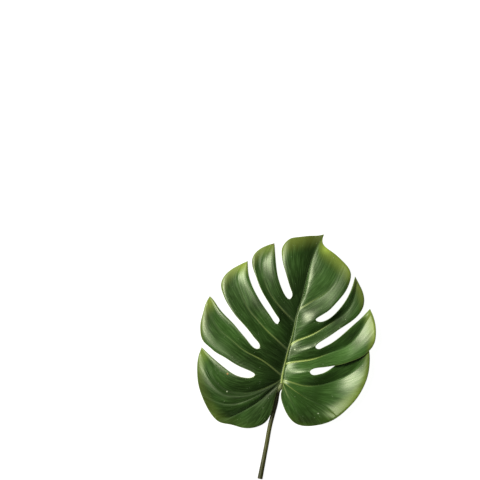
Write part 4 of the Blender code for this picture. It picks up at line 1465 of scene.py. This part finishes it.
# %% Stalk shape
# x, y and height of the middle line, and the radius
STALK = ((-28.5, -132.5, 3.4, 3.4), (-25.5, -117, 3.2, 3.2), (-22.3, -100.5, 3.0, 3.0),
         (-18.8, -82, 2.9, 2.9), (-15.2, -62, 2.9, 2.9), (-12.2, -50, 3.0, 2.9),
         (-10.0, -41, 3.4, 3.1), (-7.8, -32, 4.4, 3.3), (-6.0, -22.5, 5.9, 3.2),
         (-4.3, -15, 7.4, 2.8), (-2.6, -10.8, 8.6, 2.5), (-1.1, -7.4, 9.3, 2.7),
         (0.1, -3.4, 9.9, 1.9))
STALK_SIDES = 40
STALK_THINNING = 2
RIDGES = 0.05
WRINKLES = 0.07
WRINKLE_SPACING = 1.7
KNEE = (95, 118)
# knobs on the collar: x and y from the joint, size and height
KNOBS = ((0.3, -10.0, 2.6, 1.2), (1.6, -5.2, 1.8, 0.5), (-3.6, -5.4, 1.8, 0.6),
         (-5.0, -9.6, 2.0, 0.6))

stalk_path = smooth_path(STALK)[::STALK_THINNING]
stalk_run = run_of(stalk_path)
ahead = np.gradient(stalk_path[:, :3], axis=0)
ahead /= np.linalg.norm(ahead, axis=1)[:, None]
aside = np.cross(ahead, (0, 0, 1))
aside /= np.linalg.norm(aside, axis=1)[:, None]
above = np.cross(aside, ahead)
turn = np.arange(STALK_SIDES) * 2 * np.pi / STALK_SIDES
ring = np.cos(turn)[:, None, None] * aside + np.sin(turn)[:, None, None] * above
ridge = RIDGES * rng.normal(size=STALK_SIDES)
knee = np.exp(-((stalk_run - np.mean(KNEE)) / (KNEE[1] - KNEE[0])) ** 2)
wrinkle = WRINKLES * knee * np.sin(stalk_run * 2 * np.pi / WRINKLE_SPACING)
radius = stalk_path[:, 3] + ridge[:, None] + wrinkle
skin_places = stalk_path[:, :2] + radius[:, :, None] * ring[:, :, :2]
for x, y, size, height in KNOBS:
    radius += height * np.exp(-((skin_places - (x, y)) ** 2).sum(axis=2) / size ** 2)
stalk_points = (stalk_path[:, :3] + radius[:, :, None] * ring).transpose(1, 0, 2)
stalk_points[:, :, 2] = np.maximum(stalk_points[:, :, 2], 0)
print("stalk:", round(stalk_run[-1], 1), "mm long with", len(stalk_path), "rings")

# %% [markdown]
# ## The stalk's finish
# At the cut the stalk is a dull dark olive, lighter in the middle, and brown towards the knee,
# where it runs in under the blade. There it is also painted darker, nearly black, as shade on the
# side turned from the lamp, with olive left on the lit side. The collar is a greyish green. Two
# numbers for each point say how far along and how far round it lies, so the colours can run with
# the stalk.

# %% Stalk object
OLIVE_DARK = paint(62, 64, 26)
OLIVE_LIGHT = paint(92, 95, 40)
KNEE_BROWN_AND_SHADE = paint(42, 42, 20)
COLLAR_GREEN = paint(128, 142, 92)
CUT_ANGLE = 50
STREAK_SCALE = 1.6
STREAKS_ROUND = 2.5
STREAKS_ALONG = 0.05
STREAK_DEPTH = 0.0002
STREAKS = (0.4, 0.62, 0.0, 0.6)
STALK_ROUGHNESS = (0.42, 0.58)
# where the colours set in along the stalk, in mm from the cut, and how brown and shaded it is
# round it, with the painted shade deepest on the side turned from the lamp
LIGHT_OLIVE = (5.0, 60.0)
BROWN_AND_SHADE_ALONG = (62.0, 96.0)
BROWN_AND_SHADE_ROUND = (-0.9, -0.1, 0.35, 1.0)
COLLAR = (119.0, 127.0, 0.0, 0.85)

rings, sides = stalk_points.shape[:2]
here = (np.arange(rings - 1)[:, None] * sides + np.arange(sides)).ravel()
beside_here = (np.arange(rings - 1)[:, None] * sides + (np.arange(sides) + 1) % sides).ravel()
stalk_faces = np.vstack([np.column_stack([here, beside_here + sides, beside_here]),
                         np.column_stack([here, here + sides, beside_here + sides])])
ends = []
for first, flip in ((0, False), ((rings - 1) * sides, True)):
    for j in range(1, sides - 1):
        fan = (first, first + j, first + j + 1)
        ends.append(fan[::-1] if flip else fan)
stalk_faces = np.vstack([stalk_faces, ends])
grown = np.stack(np.broadcast_arrays(np.cos(turn), stalk_run[:, None], np.sin(turn)), axis=-1)
stalk_material = bpy.data.materials.new("stalk_skin")
stalk = add_piece("leaf_stalk", stalk_points.reshape(-1, 3), stalk_faces, (stalk_material,),
                  grown=grown.reshape(-1, 3))
stalk.data.set_sharp_from_angle(angle=np.radians(CUT_ANGLE))

tree, shader = start_finish(stalk_material)
right_side, run, top_side = parts_of(tree, known(tree, "grown"))
streak_place = vector_of(tree, maths(tree, "MULTIPLY", right_side, STREAKS_ROUND),
                         maths(tree, "MULTIPLY", run, STREAKS_ALONG),
                         maths(tree, "MULTIPLY", top_side, STREAKS_ROUND))
streaks = grain(tree, streak_place, STREAK_SCALE, detail=4.0)
colour = blend(tree, fade(tree, run, *LIGHT_OLIVE), OLIVE_DARK, OLIVE_LIGHT)
colour = blend(tree, fade(tree, streaks, *STREAKS), colour, OLIVE_DARK)
# brown with painted shade: darkest towards the knee and on the side turned from the lamp
brown_and_shade = maths(tree, "MULTIPLY", fade(tree, run, *BROWN_AND_SHADE_ALONG),
              fade(tree, right_side, *BROWN_AND_SHADE_ROUND))
colour = blend(tree, brown_and_shade, colour, KNEE_BROWN_AND_SHADE)
colour = blend(tree, fade(tree, run, *COLLAR), colour, COLLAR_GREEN)
feed(tree, shader.inputs["Base Color"], colour)
feed(tree, shader.inputs["Roughness"], fade(tree, streaks, *NOISE_SWING, *STALK_ROUGHNESS))
feed(tree, shader.inputs["Normal"], bump(tree, streaks, STREAK_DEPTH))
print("stalk:", len(stalk.data.polygons), "faces,", len(tree.nodes), "nodes")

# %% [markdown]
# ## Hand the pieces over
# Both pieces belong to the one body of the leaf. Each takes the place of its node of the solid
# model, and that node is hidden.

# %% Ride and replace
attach(blade, "root")
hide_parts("blade")
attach(stalk, "root")
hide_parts("petiole")
